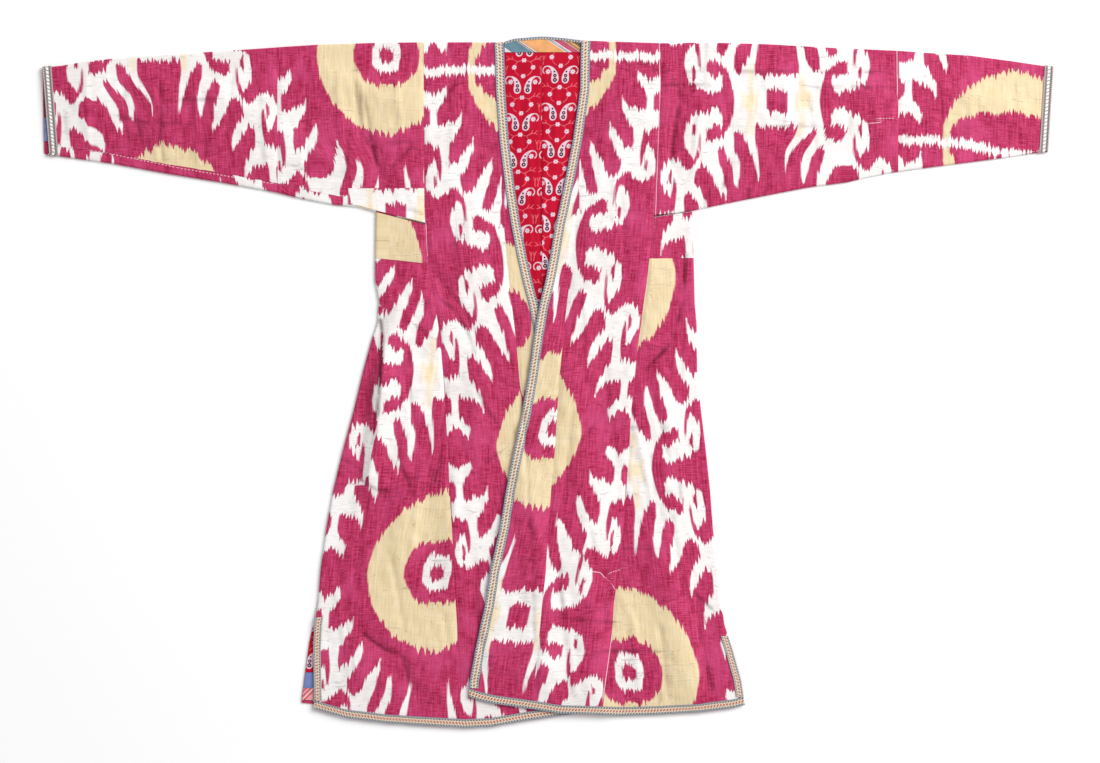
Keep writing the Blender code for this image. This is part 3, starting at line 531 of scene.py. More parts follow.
# %% Slip of the thread bundles
BUNDLE, SLIP_LENGTH, SLIP = 2.6, 34.0, 2.0
slip_table = np.random.default_rng(7).uniform(-1, 1, (256, 64))


def bundle_slip(across, warp, seed):
    """How far the bound bundles slipped along the warp, in steps: uneven across, slow along."""
    a, b = across / BUNDLE + 97 + 31 * seed, warp / SLIP_LENGTH + 13 * seed
    a0, b0 = np.floor(a).astype(int), np.floor(b).astype(int)
    part_a, part_b = a - a0, smooth(b - b0)
    corner = [[slip_table[(a0 + i) % 256, (b0 + j) % 64] for j in (0, 1)] for i in (0, 1)]
    near, far = [corner[0][j] * (1 - part_a) + corner[1][j] * part_a for j in (0, 1)]
    return SLIP * (near * (1 - part_b) + far * part_b)


# %% [markdown]
# Where each panel lay on the loom
#
# All panels are cut from one long cloth. For each, a table says which places of the chart fall on
# which drop: 0 is a row of wide rings, 187 a row of blocks and 374 a row of rings with an eye. One
# pattern from above would be simpler, but it would not turn or break at a seam as cut cloth does.

# %% Rows and middle lines
# Rows are (drop, place along the warp), middles are (drop, across) of the loom's middle.
STRIP_ROWS = {"left": [(55, 0), (363, 187), (578, 308), (644, 347), (679, 374), (714, 401), (780, 440),
                       (965, 561), (1274, 748)],
              "right": [(31, 0), (335, 187), (552, 308), (614, 347), (651, 374), (688, 401), (750, 440),
                        (957, 561), (1262, 748)]}
GORE_ROWS = {"left": [(155, 187), (464, 374), (772, 561), (1081, 748)],
             "right": [(31, 0), (336, 187), (645, 374), (954, 561), (1262, 748)]}
SIDE_ROWS = {"left": [(266, 0), (554, 187), (717, 285), (752, 296), (883, 374), (1190, 561)],
             "right": [(396, 374), (714, 187), (1048, 374), (1356, 561)]}
SIDE_MIDDLES = {"left": [(554, -150), (700, -160), (883, -182), (1083, -196)],
                "right": [(396, 96.5), (560, 97), (714, 101), (880, 118), (1048, 135), (1148, 141)]}
PLEAT = [(446, -268), (530, -271), (590, -278), (640, -281), (682, -288), (740, -300)]
SELVEDGE = 118


def line_at(rows, drop):
    """Read a table between its rows, and run on past its ends at the slope of the last rows."""
    (d0, v0), (d1, v1) = rows[0], rows[1]
    (d2, v2), (d3, v3) = rows[-2], rows[-1]
    value = np.interp(drop, [r[0] for r in rows], [r[1] for r in rows])
    value = np.where(drop < d0, v0 + (drop - d0) * (v1 - v0) / (d1 - d0), value)
    return np.where(drop > d3, v3 + (drop - d3) * (v3 - v2) / (d3 - d2), value)


# %% Looms for the fronts


def strip_loom(name):
    """The selvedge lies in the body seam, where a strip is widest."""
    side = SIDES[name]

    def loom(x, drop):
        from_seam = (x - body_x(side["columns"][1], drop)) * -side["outward"] / STEP
        return SELVEDGE - from_seam, line_at(STRIP_ROWS[name], drop)

    return loom


def gore_loom(name):
    """The left gore runs along its seam, and the right gore along the front edge."""
    def loom(x, drop):
        if name == "left":
            return 15 + (x - body_x(3, drop)) / STEP, line_at(GORE_ROWS[name], drop)
        return (x - body_x(5, drop)) / STEP - 35.5, line_at(GORE_ROWS[name], drop)

    return loom


def side_loom(name):
    """In the left side's pleat 33 mm of cloth are folded away, so the pattern jumps there."""
    def loom(x, drop):
        across = (x - line_at(SIDE_MIDDLES[name], drop)) / STEP
        warp = line_at(SIDE_ROWS[name], drop)
        if name == "left":
            folded = (x < along(PLEAT, drop)) & (drop > 446) & (drop < 740)
            across, warp = np.where(folded, (x + 135) / STEP, across), np.where(folded, warp + 8, warp)
        return across, warp

    return loom


def gusset_loom(name):
    def loom(x, drop):
        if name == "left":
            return np.maximum((x + 321) / STEP, 36), 374 + (drop - 373) / STEP
        return (x - 54.5) / STEP, HALF_REPEAT + (drop - 117) / STEP

    return loom


# %% Looms for sleeves, patch and back
SLEEVE_LOOMS = {
    ("left", "inner"): lambda x, drop: ((x + 265.5) / STEP, 374 + (drop - 30) / STEP),
    ("left", "outer"): lambda x, drop: ((x + 643 - 0.052 * drop) / STEP, 187 + (drop + 3) / STEP),
    ("right", "inner"): lambda x, drop: ((x - 378) / STEP, 187 + (drop - 107) / STEP),
    ("right", "outer"): lambda x, drop: ((x - 773) / STEP, (drop - 165 - (x - 578) * 0.1) / STEP),
}
LEANS = {("left", "inner"): (-1, 14, 160), ("left", "outer"): (-1, 11, 60), ("right", "inner"): (1, 13, 140)}


def sleeve_loom(name, part):
    """On one side of each sleeve's figure the fingers lean in: side, steps, and the drop it starts at."""
    loom = SLEEVE_LOOMS[name, part]
    side, steps, start = LEANS.get((name, part), (1, 0, 0))

    def leaning(x, drop):
        across, warp = loom(x, drop)
        inner = smooth(across * side / 10) * (1 - smooth((across * side - 60) / 18))
        return across + side * steps * inner * smooth((drop - start) / 60), warp

    return leaning


def patch_loom(x, drop):
    return (x + 250) / STEP, HALF_REPEAT + (drop - 295) / STEP


def back_loom(x, drop):
    return (x + 9) / STEP, -(drop + 40) / STEP


def back_side_loom(name):
    def loom(x, drop):
        return (x - line_at(SIDE_MIDDLES[name], drop)) / STEP, HALF_REPEAT + line_at(SIDE_ROWS[name], drop)

    return loom


# %% [markdown]
# The cloth's finish
#
# Adras has a silk warp over a cotton weft. Up close it is a fine rib with a soft shine along the
# warp. Old magenta dye has faded in streaks, and pale flecks show where the silk has worn. The two
# depths from the chart draw the edges of white and yellow. A noise that is narrow across the warp
# moves them thread by thread, as far as the chart's edge leans across the threads. The rib could be
# modelled, but it is finer than a millimetre, so a bump is enough.

# %% Ikat cloth
# Each grain is the size of one kind of unevenness in millimetres: across the warp, along it, how
# much finer detail it has, and a shift that keeps it apart from the others. Threads and rib are drawn
# about twice as coarse as the real ones, so that they show.
# Three of the grains only shape painted shade: the thin wrinkle lines, and the wobbly edge and gaps of the
# crease shade.
GRAINS = {
    "spike": (3.6, 60, 0, 0), "thread": (1.5, 30, 0, 5), "streak": (2.6, 38, 3, 11), "cloud": (55, 80, 2, 23),
    "pick": (18, 1.8, 2, 37), "fleck": (1.6, 5, 2, 3), "smudge": (5, 34, 2, 8), "press": (150, 26, 3, 31),
    "crumple": (20, 20, 1, 41), "gap": (40, 40, 1, 51), "yarn": (1.5, 22, 1, 17),
}
RIB, SPIKE, THREAD_SPIKE, SMUDGE_SPREAD, CRUMPLE = 1.5, 17.0, 8.0, 20.0, 1.6
EDGE_START, EDGE_END = -1.3, 1.1
STAIN_START, STAIN_END, STAIN_MOST = 3.0, 17.0, 0.75
# Painted shade: how far the crease shade reaches, its core and its darkest share, then the wrinkle lines.
CREASE_SHADE_CLEAR, CREASE_SHADE_CORE, CREASE_SHADE_MOST = 7.3, 0.3, 0.6
WRINKLE_SHADE_WIDTH, WRINKLE_SHADE_MOST = 0.004, 0.25
YARN_HALF, YARN_SHOWN = 0.6, 0.6
# A share reads one grain: from where it starts to where it is full, and how strong it then is.
SHARES = {"cloud": ("cloud", 0.48, 1.0, 1.0), "fleck": ("fleck", 0.68, 0.95, 1.0),
          "pale": ("cloud", 0.35, 0.7, 1.0), "weft": ("pick", 0.3, 0.75, 0.16), "gap": ("gap", 0.3, 0.6, 1.0)}
# A ground is one dyed colour, and what each share tints it with.
GROUNDS = {
    "magenta": ("#98103A", [("weave", "#D24678"), ("cloud", "#D85286"), ("fleck", "#E89AB4")]),
    "yellow": ("#E0C798", [("weave", "#F0E0BC")]),
    "white": ("#F0ECEA", [("pale", "#FAF8F7"), ("stain", "#F2D79E")]),
}


def dyed_colour(tree, dye, lean, grain, share):
    """The three grounds, with their edges drawn out in spikes where they cross the warp."""
    spikes = add(tree, "Math", {0: grain["spike"], 1: SPIKE, 2: -(SPIKE + THREAD_SPIKE) / 2},
                 operation="MULTIPLY_ADD")
    spikes = add(tree, "Math", {0: grain["thread"], 1: THREAD_SPIKE, 2: spikes},
                 operation="MULTIPLY_ADD")
    ground = {}
    for name, (hue, tints) in GROUNDS.items():
        ground[name] = linear(hue)
        for part, tint in tints:
            ground[name] = add(tree, "Mix", {"Factor": share[part], 6: ground[name], 7: linear(tint)},
                               2, data_type="RGBA")
    colour = ground["magenta"]
    for number, name in ((1, "yellow"), (0, "white")):
        moved = add(tree, "Math", {0: spikes, 1: lean[number], 2: dye[number]},
                    operation="MULTIPLY_ADD")
        edge = add(tree, "MapRange", {"Value": moved, "From Min": EDGE_START, "From Max": EDGE_END})
        colour = add(tree, "Mix", {"Factor": edge, 6: colour, 7: ground[name]}, 2, data_type="RGBA")
    return colour


def painted_crease_shade(tree, pressed, grain, share):
    """Painted shade darkens the bottoms of creases, softly and with gaps."""
    aside = add(tree, "Math", {0: pressed[0]}, operation="ABSOLUTE")
    aside = add(tree, "Math", {0: grain["crumple"], 1: CRUMPLE, 2: aside}, operation="MULTIPLY_ADD")
    dark = add(tree, "MapRange", {"Value": aside, "From Min": CREASE_SHADE_CLEAR, "From Max": CREASE_SHADE_CORE,
                                  "To Max": CREASE_SHADE_MOST},
               interpolation_type="SMOOTHSTEP")
    dark = add(tree, "Math", {0: dark, 1: pressed[2]}, operation="MULTIPLY")
    return add(tree, "Math", {0: dark, 1: share["gap"]}, operation="MULTIPLY")


def thread_share(tree, thread):
    """Pale sewing thread: a stitch for half of each repeat, or one long thread where it has none."""
    aside = add(tree, "Math", {0: thread[0]}, operation="ABSOLUTE")
    on_line = add(tree, "Math", {0: aside, 1: YARN_HALF}, operation="LESS_THAN")
    stitch = add(tree, "Math", {0: thread[2], 1: 0.5}, operation="MULTIPLY")
    along_repeat = add(tree, "Math", {0: thread[1], 1: thread[2], 2: 0.0}, operation="WRAP")
    shown = add(tree, "Math", {0: along_repeat, 1: stitch}, operation="LESS_THAN")
    single = add(tree, "Math", {0: thread[2], 1: 0.5}, operation="LESS_THAN")
    for operation, value in (("MAXIMUM", single), ("MULTIPLY", on_line), ("MULTIPLY", YARN_SHOWN)):
        shown = add(tree, "Math", {0: shown, 1: value}, operation=operation)
    return shown


def ikat_material():
    """Adras, bound and dyed in the yarn, then woven: little gloss, a fine rib, and edges like flames."""
    made, tree, shader = new_material("adras_ikat_silk_on_cotton", 0.62)
    stored, grain = {}, {}
    for name in ("dye", "lean", "pressed", "thread"):
        kept = add(tree, "Attribute", output="Vector", attribute_name=name)
        stored[name] = add(tree, "SeparateXYZ", {0: kept}).node.outputs
    loom = add(tree, "UVMap", uv_map="loom")
    for name, (width, length, detail, shift) in GRAINS.items():
        scaled = add(tree, "Mapping", {"Vector": loom, "Scale": (1000 / width, 1000 / length, 1),
                                       "Location": (shift, shift, 0)})
        grain[name] = add(tree, "TexNoise", {"Vector": scaled, "Scale": 1.0, "Detail": detail},
                          noise_dimensions="2D")
    share = {name: add(tree, "MapRange", {"Value": grain[source], "From Min": low, "From Max": high,
                                          "To Max": most})
             for name, (source, low, high, most) in SHARES.items()}
    both = add(tree, "Math", {0: grain["streak"], 1: grain["pick"]}, operation="ADD")
    share["weave"] = add(tree, "MapRange", {"Value": both, "From Min": 0.68, "From Max": 1.3})
    smudge = add(tree, "Math", {0: grain["smudge"], 1: SMUDGE_SPREAD, 2: stored["dye"][2]},
                 operation="MULTIPLY_ADD")
    share["stain"] = add(tree, "MapRange", {"Value": smudge, "From Min": STAIN_START, "From Max": STAIN_END,
                                            "To Max": STAIN_MOST})
    # Thin dark lines across the cloth: painted shade in fine wrinkles.
    painted_wrinkle_shade = add(tree, "Math", {0: grain["press"], 1: 0.5, 2: WRINKLE_SHADE_WIDTH}, operation="COMPARE")
    painted_wrinkle_shade = add(tree, "Math", {0: painted_wrinkle_shade, 1: WRINKLE_SHADE_MOST}, operation="MULTIPLY")
    # Painted shade at the bottoms of creases and along pressed folds.
    crease = painted_crease_shade(tree, stored["pressed"], grain, share)
    colour = dyed_colour(tree, stored["dye"], stored["lean"], grain, share)
    # 5A3040 and #5A2034 are painted shade in wrinkles and creases; the weft lines and the pale thread are the
    # cloth's own.
    for part, hue, blend in ((painted_wrinkle_shade, "#5A3040", "MULTIPLY"), (share["weft"], "#AC8A8E", "MULTIPLY"),
                             (crease, "#5A2034", "MULTIPLY"),
                             (thread_share(tree, stored["thread"]), "#F8ECEE", "MIX")):
        colour = add(tree, "Mix", {"Factor": part, 6: colour, 7: linear(hue)}, 2, data_type="RGBA",
                     blend_type=blend)
    tree.links.new(colour, shader.inputs["Base Color"])
    scaled = add(tree, "Mapping", {"Vector": loom, "Scale": (1, 1000 / RIB, 1)})
    rib = add(tree, "TexWave", {"Vector": scaled, "Scale": 0.16, "Distortion": 1.5, "Detail": 1.0},
              output="Fac", bands_direction="Y")
    height = add(tree, "Math", {0: rib, 1: 0.5, 2: grain["yarn"]}, operation="MULTIPLY_ADD")
    bump = add(tree, "Bump", {"Height": height, "Strength": 0.35, "Distance": 0.5 * MM})
    tree.links.new(bump, shader.inputs["Normal"])
    shader.inputs["Specular IOR Level"].default_value = 0.12
    shader.inputs["Sheen Weight"].default_value = 0.03
    shader.inputs["Sheen Roughness"].default_value = 0.4
    return made


IKAT = ikat_material()
print(IKAT.name, "has", len(IKAT.node_tree.nodes), "nodes")

# %% [markdown]
# A cloth from a grid
#
# Each cloth starts as Blender's grid primitive, with its columns along the warp. Its points are then
# moved onto the robe, and Solidify gives it two faces. The depths read from the chart are kept on the
# points, so that the material can draw each dyed edge thread by thread.

# %% Lay a grid on the robe
seeds = iter(range(100))


def lay_grid(name, points):
    """A grid primitive with a corner for each point, and the rows and columns of its corners."""
    rows, columns = points.shape[0] - 1, points.shape[1] - 1
    bpy.ops.object.select_all(action="DESELECT")
    bpy.ops.mesh.primitive_grid_add(x_subdivisions=columns, y_subdivisions=rows, size=2, calc_uvs=False)
    piece = bpy.context.object
    piece.name = piece.data.name = name
    flat = np.empty(len(piece.data.vertices) * 3)
    piece.data.vertices.foreach_get("co", flat)
    flat = flat.reshape(-1, 3)
    row, column = np.rint((1 - flat[:, 1]) / 2 * rows), np.rint((flat[:, 0] + 1) / 2 * columns)
    index = (row.astype(int), column.astype(int))
    piece.data.vertices.foreach_set("co", points[index].reshape(-1))
    piece.data.update()
    return piece, index


def keep_uv(piece, index, across, run):
    """Keep places on the cloth, given in millimetres, as its UV map."""
    corners = np.empty(len(piece.data.loops), int)
    piece.data.loops.foreach_get("vertex_index", corners)
    places = (np.stack(np.broadcast_arrays(across, run), -1) * MM)[index]
    piece.data.uv_layers.new(name="loom").data.foreach_set("uv", places[corners].reshape(-1))


def keep_vector(piece, index, name, *parts):
    layer = piece.data.attributes.new(name, "FLOAT_VECTOR", "POINT")
    layer.data.foreach_set("vector", np.stack(parts, -1)[index].reshape(-1))


def finish_cloth(piece, points, wall, material, nodes):
    """Thicken a laid grid, turn its faces outward, hang it on the root, and hide the solids it stands for."""
    if points[..., 2].mean() > 0 and piece.data.polygons[0].normal.z < 0:
        piece.data.flip_normals()
    solid = piece.modifiers.new("wall", "SOLIDIFY")
    solid.thickness, solid.offset = wall * MM, 0
    bpy.ops.object.modifier_apply(modifier="wall")
    bpy.ops.object.shade_smooth_by_angle(angle=math.radians(50))
    piece.data.materials.append(material)
    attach(piece, "root")
    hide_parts(*nodes)
    return piece


CHART_NUDGE = 0.6


def ikat_cloth(name, points, nodes, loom, run=None, wall=WALL):
    """A cloth with the ikat pattern. run gives the drops as they were before a sleeve was folded."""
    piece, index = lay_grid(name, points)
    x, drop = laid(points)
    across, warp = loom(x, drop if run is None else run)
    slip = bundle_slip(across, warp, next(seeds))
    near, beyond = read_chart(across, warp + slip), read_chart(across, warp + slip + CHART_NUDGE)
    keep_vector(piece, index, "dye", *[depth * STEP for depth in near])
    keep_vector(piece, index, "lean", *[np.abs(b - a) / CHART_NUDGE for a, b in zip(near, beyond)])
    keep_vector(piece, index, "pressed", *nearest_line(x, drop, CREASE_SHADE_LINES))
    keep_vector(piece, index, "thread", *nearest_line(x, drop, THREADS))
    keep_uv(piece, index, across * STEP, warp * STEP)
    return finish_cloth(piece, points, wall, IKAT, nodes)


# %% [markdown]
# The back
#
# The back is one wide piece between two side pieces. It lies flat on the table, and only its neck and
# its left vent can be seen from the front. Cloth that lies flat needs no simulation: its rows are
# worked out from the seams and the hem.

# %% Build the back
SIDES = {
    "left": dict(outward=-1, columns=(1, 2, 3, 4), hem=HEM_LEFT, gusset=(310, 374), tilt=(-20.5, -8.5),
                 vent=(940, 982)),
    "right": dict(outward=1, columns=(8, 7, 6, 5), hem=HEM_RIGHT, gusset=(298, 366), tilt=(-9.5, -1.0),
                  vent=(982, 1016)),
}
TILT_END = 618
PLAIN, FINE, LONG = 8.0, 3.3, 4.0
NECK_ENDS = (-72, 54)
HEM_START, HEM_RUN = 600, 500
BACK_PUCKER, BACK_WIDTH, BACK_SIDE_LENGTH, NECK_RUN = 0.3, 390, 800, 60


def cells(length, size):
    return max(1, round(length / size)) + 1


def back_drop(x, station):
    """A back row's drop: level near the top and following the hem near the bottom."""
    return station * (1 + (along(HEM_BACK, x) / LENGTH - 1) * smooth((station - HEM_START) / HEM_RUN))


def back_height(x, drop):
    return BACK_MID + np.clip(puckers(x, drop), 0, BACK_PUCKER)


def back_points():
    station, share = np.meshgrid(np.linspace(0, LENGTH, cells(LENGTH, PLAIN)),
                                 np.linspace(0, 1, cells(BACK_WIDTH, PLAIN)), indexing="ij")
    left, right = body_x(2, station) + SEAM / 2, body_x(7, station) - SEAM / 2
    x = left + (right - left) * share
    in_neck = (x > NECK_ENDS[0]) & (x < NECK_ENDS[1])
    top = np.where(in_neck, along(NECK, x) + 1, along(TOP, x) + TURN_ROOM + SEAM)
    drop = back_drop(x, station) + top * np.clip(1 - station / NECK_RUN, 0, 1)
    return place(x, drop, back_height(x, drop))


def back_side_points(name):
    side = SIDES[name]
    station, part = np.meshgrid(np.linspace(side["gusset"][0], LENGTH, cells(BACK_SIDE_LENGTH, PLAIN)),
                                np.linspace(0, 1, 25), indexing="ij")
    seam = body_x(side["columns"][1], station) + side["outward"] * SEAM / 2
    table = BACK_SIDES[name]
    edge = along(table, back_drop(along(table, station), station))
    x = seam + (edge - seam) * part
    drop = back_drop(x, station) + side["tilt"][0] * part * smooth((560 - station) / 250)
    drop[0] = along(UNDER[name], x[0]) + SEAM
    return place(x, drop, back_height(x, drop))


ikat_cloth("ikat_back", back_points(), ["back_center"], back_loom)
for name in SIDES:
    ikat_cloth("ikat_back_side_" + name, back_side_points(name), ["side_back_" + name], back_side_loom(name))

# %% [markdown]
# The two fronts
#
# A front is made of a strip in the loom's full width, a narrow gore to its front edge, and a side
# piece that widens to the hem. The side folds over to the back. One sheet would lose the seams, so
# each piece is a grid of its own. All are mapped by one function, so that neighbours meet exactly.

# %% Map a front
FRONT_HEM_START, FRONT_HEM_RUN = 300, 800
SHOULDER_END, SHOULDER_RUN = 87, 78


def front_x(side, across, drop):
    """across runs from 0 at the side through 1 and 2 at the seams to 3 at the front edge."""
    stops = [body_x(c, drop) for c in side["columns"]]
    stops[0] = stops[0] - side["outward"] * TURN_ROOM
    low = np.clip(np.floor(across), 0, 2).astype(int)
    part = np.clip(across, 0, 3) - low
    start, end = np.choose(low, stops[:3]), np.choose(low, stops[1:])
    return start + (end - start) * part


def front_points(name, across, station, lift=0.0):
    """Points on a front. Below 0, across turns round the folded side, ending at -1 on the back."""
    side = SIDES[name]
    outward = side["outward"]
    station, across = np.meshgrid(station, across, indexing="ij")
    x = front_x(side, across, station)
    pulled = along(side["hem"], x) / LENGTH - 1
    drop = station * (1 + pulled * smooth((station - FRONT_HEM_START) / FRONT_HEM_RUN))
    x = front_x(side, across, drop)
    near_shoulder = np.clip((SHOULDER_END - station) / SHOULDER_RUN, 0, 1)
    drop = drop + (along(TOP, x) + TURN_ROOM - station) * near_shoulder
    tilt = np.interp(station, [*side["gusset"], TILT_END], [*side["tilt"], 0])
    drop = drop + tilt * np.clip(1 - across, 0, 1) * (station >= side["gusset"][0])
    flat = smooth((station - side["vent"][0]) / (side["vent"][1] - side["vent"][0]))
    turn = np.clip(-across, 0, 1)
    x = x + outward * (FOLD_RADIUS * np.sin(math.pi * turn) * (1 - flat) + TURN_ROOM * turn * flat)
    z = front_height(x, drop, outward > 0)
    z = np.where(turn > 0, FRONT_MID - FOLD_RADIUS * (1 - np.cos(math.pi * turn)) * (1 - flat), z)
    return place(x, drop, z + lift)


# %% Build the fronts
FOLD_TURNS = np.linspace(-1, 0, 6)[:-1]
SEAM_GAP, STRIP_WIDTH, GORE_TOP = 0.2, 130, 180
HALF_SEAM = SEAM_GAP / 2 / STRIP_WIDTH


def over_shoulder(strip):
    """Rows that turn over the shoulder to the back, above a strip's first row."""
    turned = []
    for share in np.linspace(1, 0, 6)[:-1]:
        row = strip[0].copy()
        row[:, 1] += FOLD_RADIUS * math.sin(math.pi * share) * MM
        row[:, 2] -= FOLD_RADIUS * (1 - math.cos(math.pi * share)) * MM
        turned.append(row)
    return np.concatenate([np.array(turned), strip])


def build_front(name):
    side = SIDES[name]
    top, end = side["gusset"]
    strip = front_points(name, np.linspace(1 + HALF_SEAM, 2 - HALF_SEAM, cells(STRIP_WIDTH, FINE)),
                         np.linspace(9, LENGTH, cells(LENGTH, LONG)))
    ikat_cloth("ikat_strip_" + name, over_shoulder(strip), ["front_strip_" + name], strip_loom(name))
    gore = front_points(name, np.linspace(2 + HALF_SEAM, 3, cells(100, FINE)),
                        np.linspace(GORE_TOP, LENGTH, cells(LENGTH - GORE_TOP, LONG)))
    ikat_cloth("ikat_gore_" + name, gore, ["front_gore_" + name], gore_loom(name))
    across = np.concatenate([FOLD_TURNS, np.linspace(0, 1 - HALF_SEAM, cells(200, FINE))])
    skirt = front_points(name, across, np.linspace(end, LENGTH, cells(LENGTH - end, LONG)))
    ikat_cloth("ikat_side_" + name, skirt, ["side_front_" + name], side_loom(name))
    across = np.concatenate([FOLD_TURNS, np.linspace(0, 1 - HALF_SEAM, cells(80, FINE))])
    gusset = front_points(name, across, np.linspace(top + SEAM_GAP, end - SEAM_GAP, cells(60, LONG)))
    ikat_cloth("ikat_gusset_" + name, gusset, ["gusset_" + name], gusset_loom(name))


for name in SIDES:
    build_front(name)

# %% [markdown]
# Sleeves
#
# Each sleeve is two pieces, folded along the top of the arm and closed by one seam under it. A small
# patch mends the left sleeve where it meets the body. A flattened cylinder would do for the shape.
# Rings from the seam round to the seam again were chosen, because the pattern then runs on over the
# fold as it does on cut cloth.

# %% Map a sleeve
UP_CELLS, DOWN_CELLS, HEM_CELLS = 62, 30, 5
TURNS = math.pi * np.arange(1, 5) / 5


def ring_under_arm(name, high, low):
    """A sleeve's section from its seam round to it again: layer (0 front, 1 back), drop, run and height."""
    left = name == "left"
    seam = low + TURN_ROOM - SEAM_UP
    turned, half_round = TURNS / math.pi, math.pi * FOLD_RADIUS
    up = np.linspace(seam if left else low, high, UP_CELLS)
    down = np.linspace(high, low if left else seam, DOWN_CELLS)
    over = high - FOLD_RADIUS * np.sin(TURNS)
    under = low + FOLD_RADIUS * np.sin(TURNS)
    hem = np.linspace(low, seam - SEAM, HEM_CELLS) if left else np.linspace(seam + SEAM, low, HEM_CELLS)
    drop_height = FOLD_RADIUS * (1 - np.cos(TURNS))
    up_part = (0 * up, up, up, np.full(UP_CELLS, np.nan))
    over_part = (turned, over, 2 * high - over - half_round, FRONT_MID - drop_height)
    down_part = (0 * down + 1, down, 2 * high - down - half_round, np.full(DOWN_CELLS, BACK_MID))
    far = 2 * high - 2 * low - 2 * half_round
    if left:
        parts = [up_part, over_part, down_part, (1 - turned, under, far + under, BACK_MID + drop_height),
                 (0 * hem, hem, far + hem, np.full(HEM_CELLS, np.nan))]
    else:
        parts = [(0 * hem + 1, hem, 2 * low - hem, np.full(HEM_CELLS, BACK_MID)),
                 (1 - turned, under, 2 * low - under, BACK_MID + drop_height), up_part, over_part, down_part]
    return [np.concatenate(values) for values in zip(*parts)]


def sleeve_points(name, start, end, columns):
    """Rings round a flattened sleeve, opened at its underarm seam. start and end give across."""
    rings, runs = [], []
    for share in np.linspace(0, 1, columns):
        middle = (1 - share) * start(180, False) + share * end(120, False)
        layer, drop, run, height = ring_under_arm(name, along(TOP, middle) + TURN_ROOM,
                                                  along(UNDER[name], middle) - TURN_ROOM)
        front = (1 - share) * start(drop, False) + share * end(drop, False)
        back = (1 - share) * start(drop, True) + share * end(drop, True)
        x = front + (back - front) * layer
        height = np.where(np.isnan(height), front_height(x, drop, name == "right"), height)
        rings.append(place(x, drop, height))
        runs.append(run)
    return np.array(rings).swapaxes(0, 1), np.array(runs).T


# %% Ends of a sleeve
ARMHOLE_ROOM = 1.2


def at_armhole(name):
    outward, column = SIDES[name]["outward"], SIDES[name]["columns"][1]
    return lambda drop, back: body_x(column, drop) + outward * (SEAM_GAP / 2 + ARMHOLE_ROOM * back)


def at_join(name, side_of_join):
    aside = SIDES[name]["outward"] * side_of_join * SEAM_GAP / 2
    return lambda drop, back: 0 * drop + SLEEVE_JOINS[name] + aside


def at_cuff(name, inward=0.0):
    return lambda drop, back: np.interp(drop, CUFF_DROPS, CUFFS[name][back]) - SIDES[name]["outward"] * inward


# %% Build the sleeves
def build_sleeve(name):
    inner_length = abs(SLEEVE_JOINS[name] - body_x(SIDES[name]["columns"][1], 180))
    outer_length = abs(CUFFS[name][0][0] - SLEEVE_JOINS[name])
    inner, run = sleeve_points(name, at_armhole(name), at_join(name, -1), cells(inner_length, FINE))
    ikat_cloth("ikat_sleeve_inner_" + name, inner, ["sleeve_inner_" + name], sleeve_loom(name, "inner"), run)
    outer, run = sleeve_points(name, at_join(name, 1), at_cuff(name), cells(outer_length, FINE))
    ikat_cloth("ikat_sleeve_outer_" + name, outer, ["sleeve_outer_" + name], sleeve_loom(name, "outer"), run)


for name in SIDES:
    build_sleeve(name)

# %% Patch on the left sleeve
PATCH_TOP, PATCH_UP, PATCH_END = 250, 29.5, -328


def patch_points():
    share, part = np.meshgrid(np.linspace(0, 1, 30), np.linspace(0, 1, 40), indexing="ij")
    x = PATCH_END + (body_x(2, 280) - SEAM / 2 - PATCH_END) * part
    top = np.minimum(PATCH_TOP, along(UNDER["left"], x) - PATCH_UP)
    low = along(UNDER["left"], x) - TURN_ROOM
    drop = top + (low - top) * share
    return place(x, drop, front_height(x, drop, False) + PATCH_LIFT)


ikat_cloth("ikat_patch", patch_points(), ["patch_sleeve_left"], patch_loom, wall=THIN)

# %% [markdown]
# Lining
#
# The lining is a thin red printed cotton. Its print is charted too, in millimetres from the
# middle between two paisleys: a pale paisley with two dark rings, a small flower in its hook, and a
# diamond of four flowers joined by thin vines. It mirrors, and repeats every 61 mm down the cloth.
# Nothing is raised in a print, so the chart only colours the cloth.

# %% Chart of the print
PRINT_WIDE, PRINT_DOWN = 62.7, 61.3
PAISLEY = [
    (2.5, -2), (3.0, -6), (4.3, -10), (6.4, -14), (9, -17.6), (12.6, -20.6), (17.3, -22.8), (22.3, -23.6),
    (26.2, -22.4), (29.2, -18.8), (29.7, -15), (28.6, -11.4), (26, -9.4), (25, -10.2), (27, -12.4),
    (28.2, -15.4),
    (27.6, -18.2), (25.4, -20.8), (22.3, -21.9), (18.8, -20.6), (16.2, -17.6), (14.4, -13.6), (13.8, -9),
    (14.5, -4), (14.4, 1), (12.6, 4.6), (9.6, 6.1), (6.2, 5.6), (3.4, 3),
]
PAISLEY_DARK = [(8.4, 0.2, 3.5, 1.2), (8.8, -7, 3.0, 1.0), (10, -13.6, 1.7, 0)]
FLOWERS = [(0, 12.2, 4.5), (15.5, 23.8, 4.5), (0, 38.2, 4.5), (0, -23.1, 4.5), (20.2, -13.4, 4.6)]
VINES = [
    [(0, 12.2), (6, 13.4), (10.9, 14.6), (12.9, 18.2), (15.5, 23.8), (12.4, 32.6), (6.4, 37.5), (0, 38.2)],
    [(10.9, 14.6), (18.3, 10.4), (23.5, 10), (29, 12)], [(18.3, 10.4), (20.8, 5)], [(23.5, 10), (28.5, 5)],
    [(28, 27), (26, 21)], [(30, 22), (28.6, 30), (29.6, 37)],
]
VINE_WIDTH, PETALS = 0.55, 7


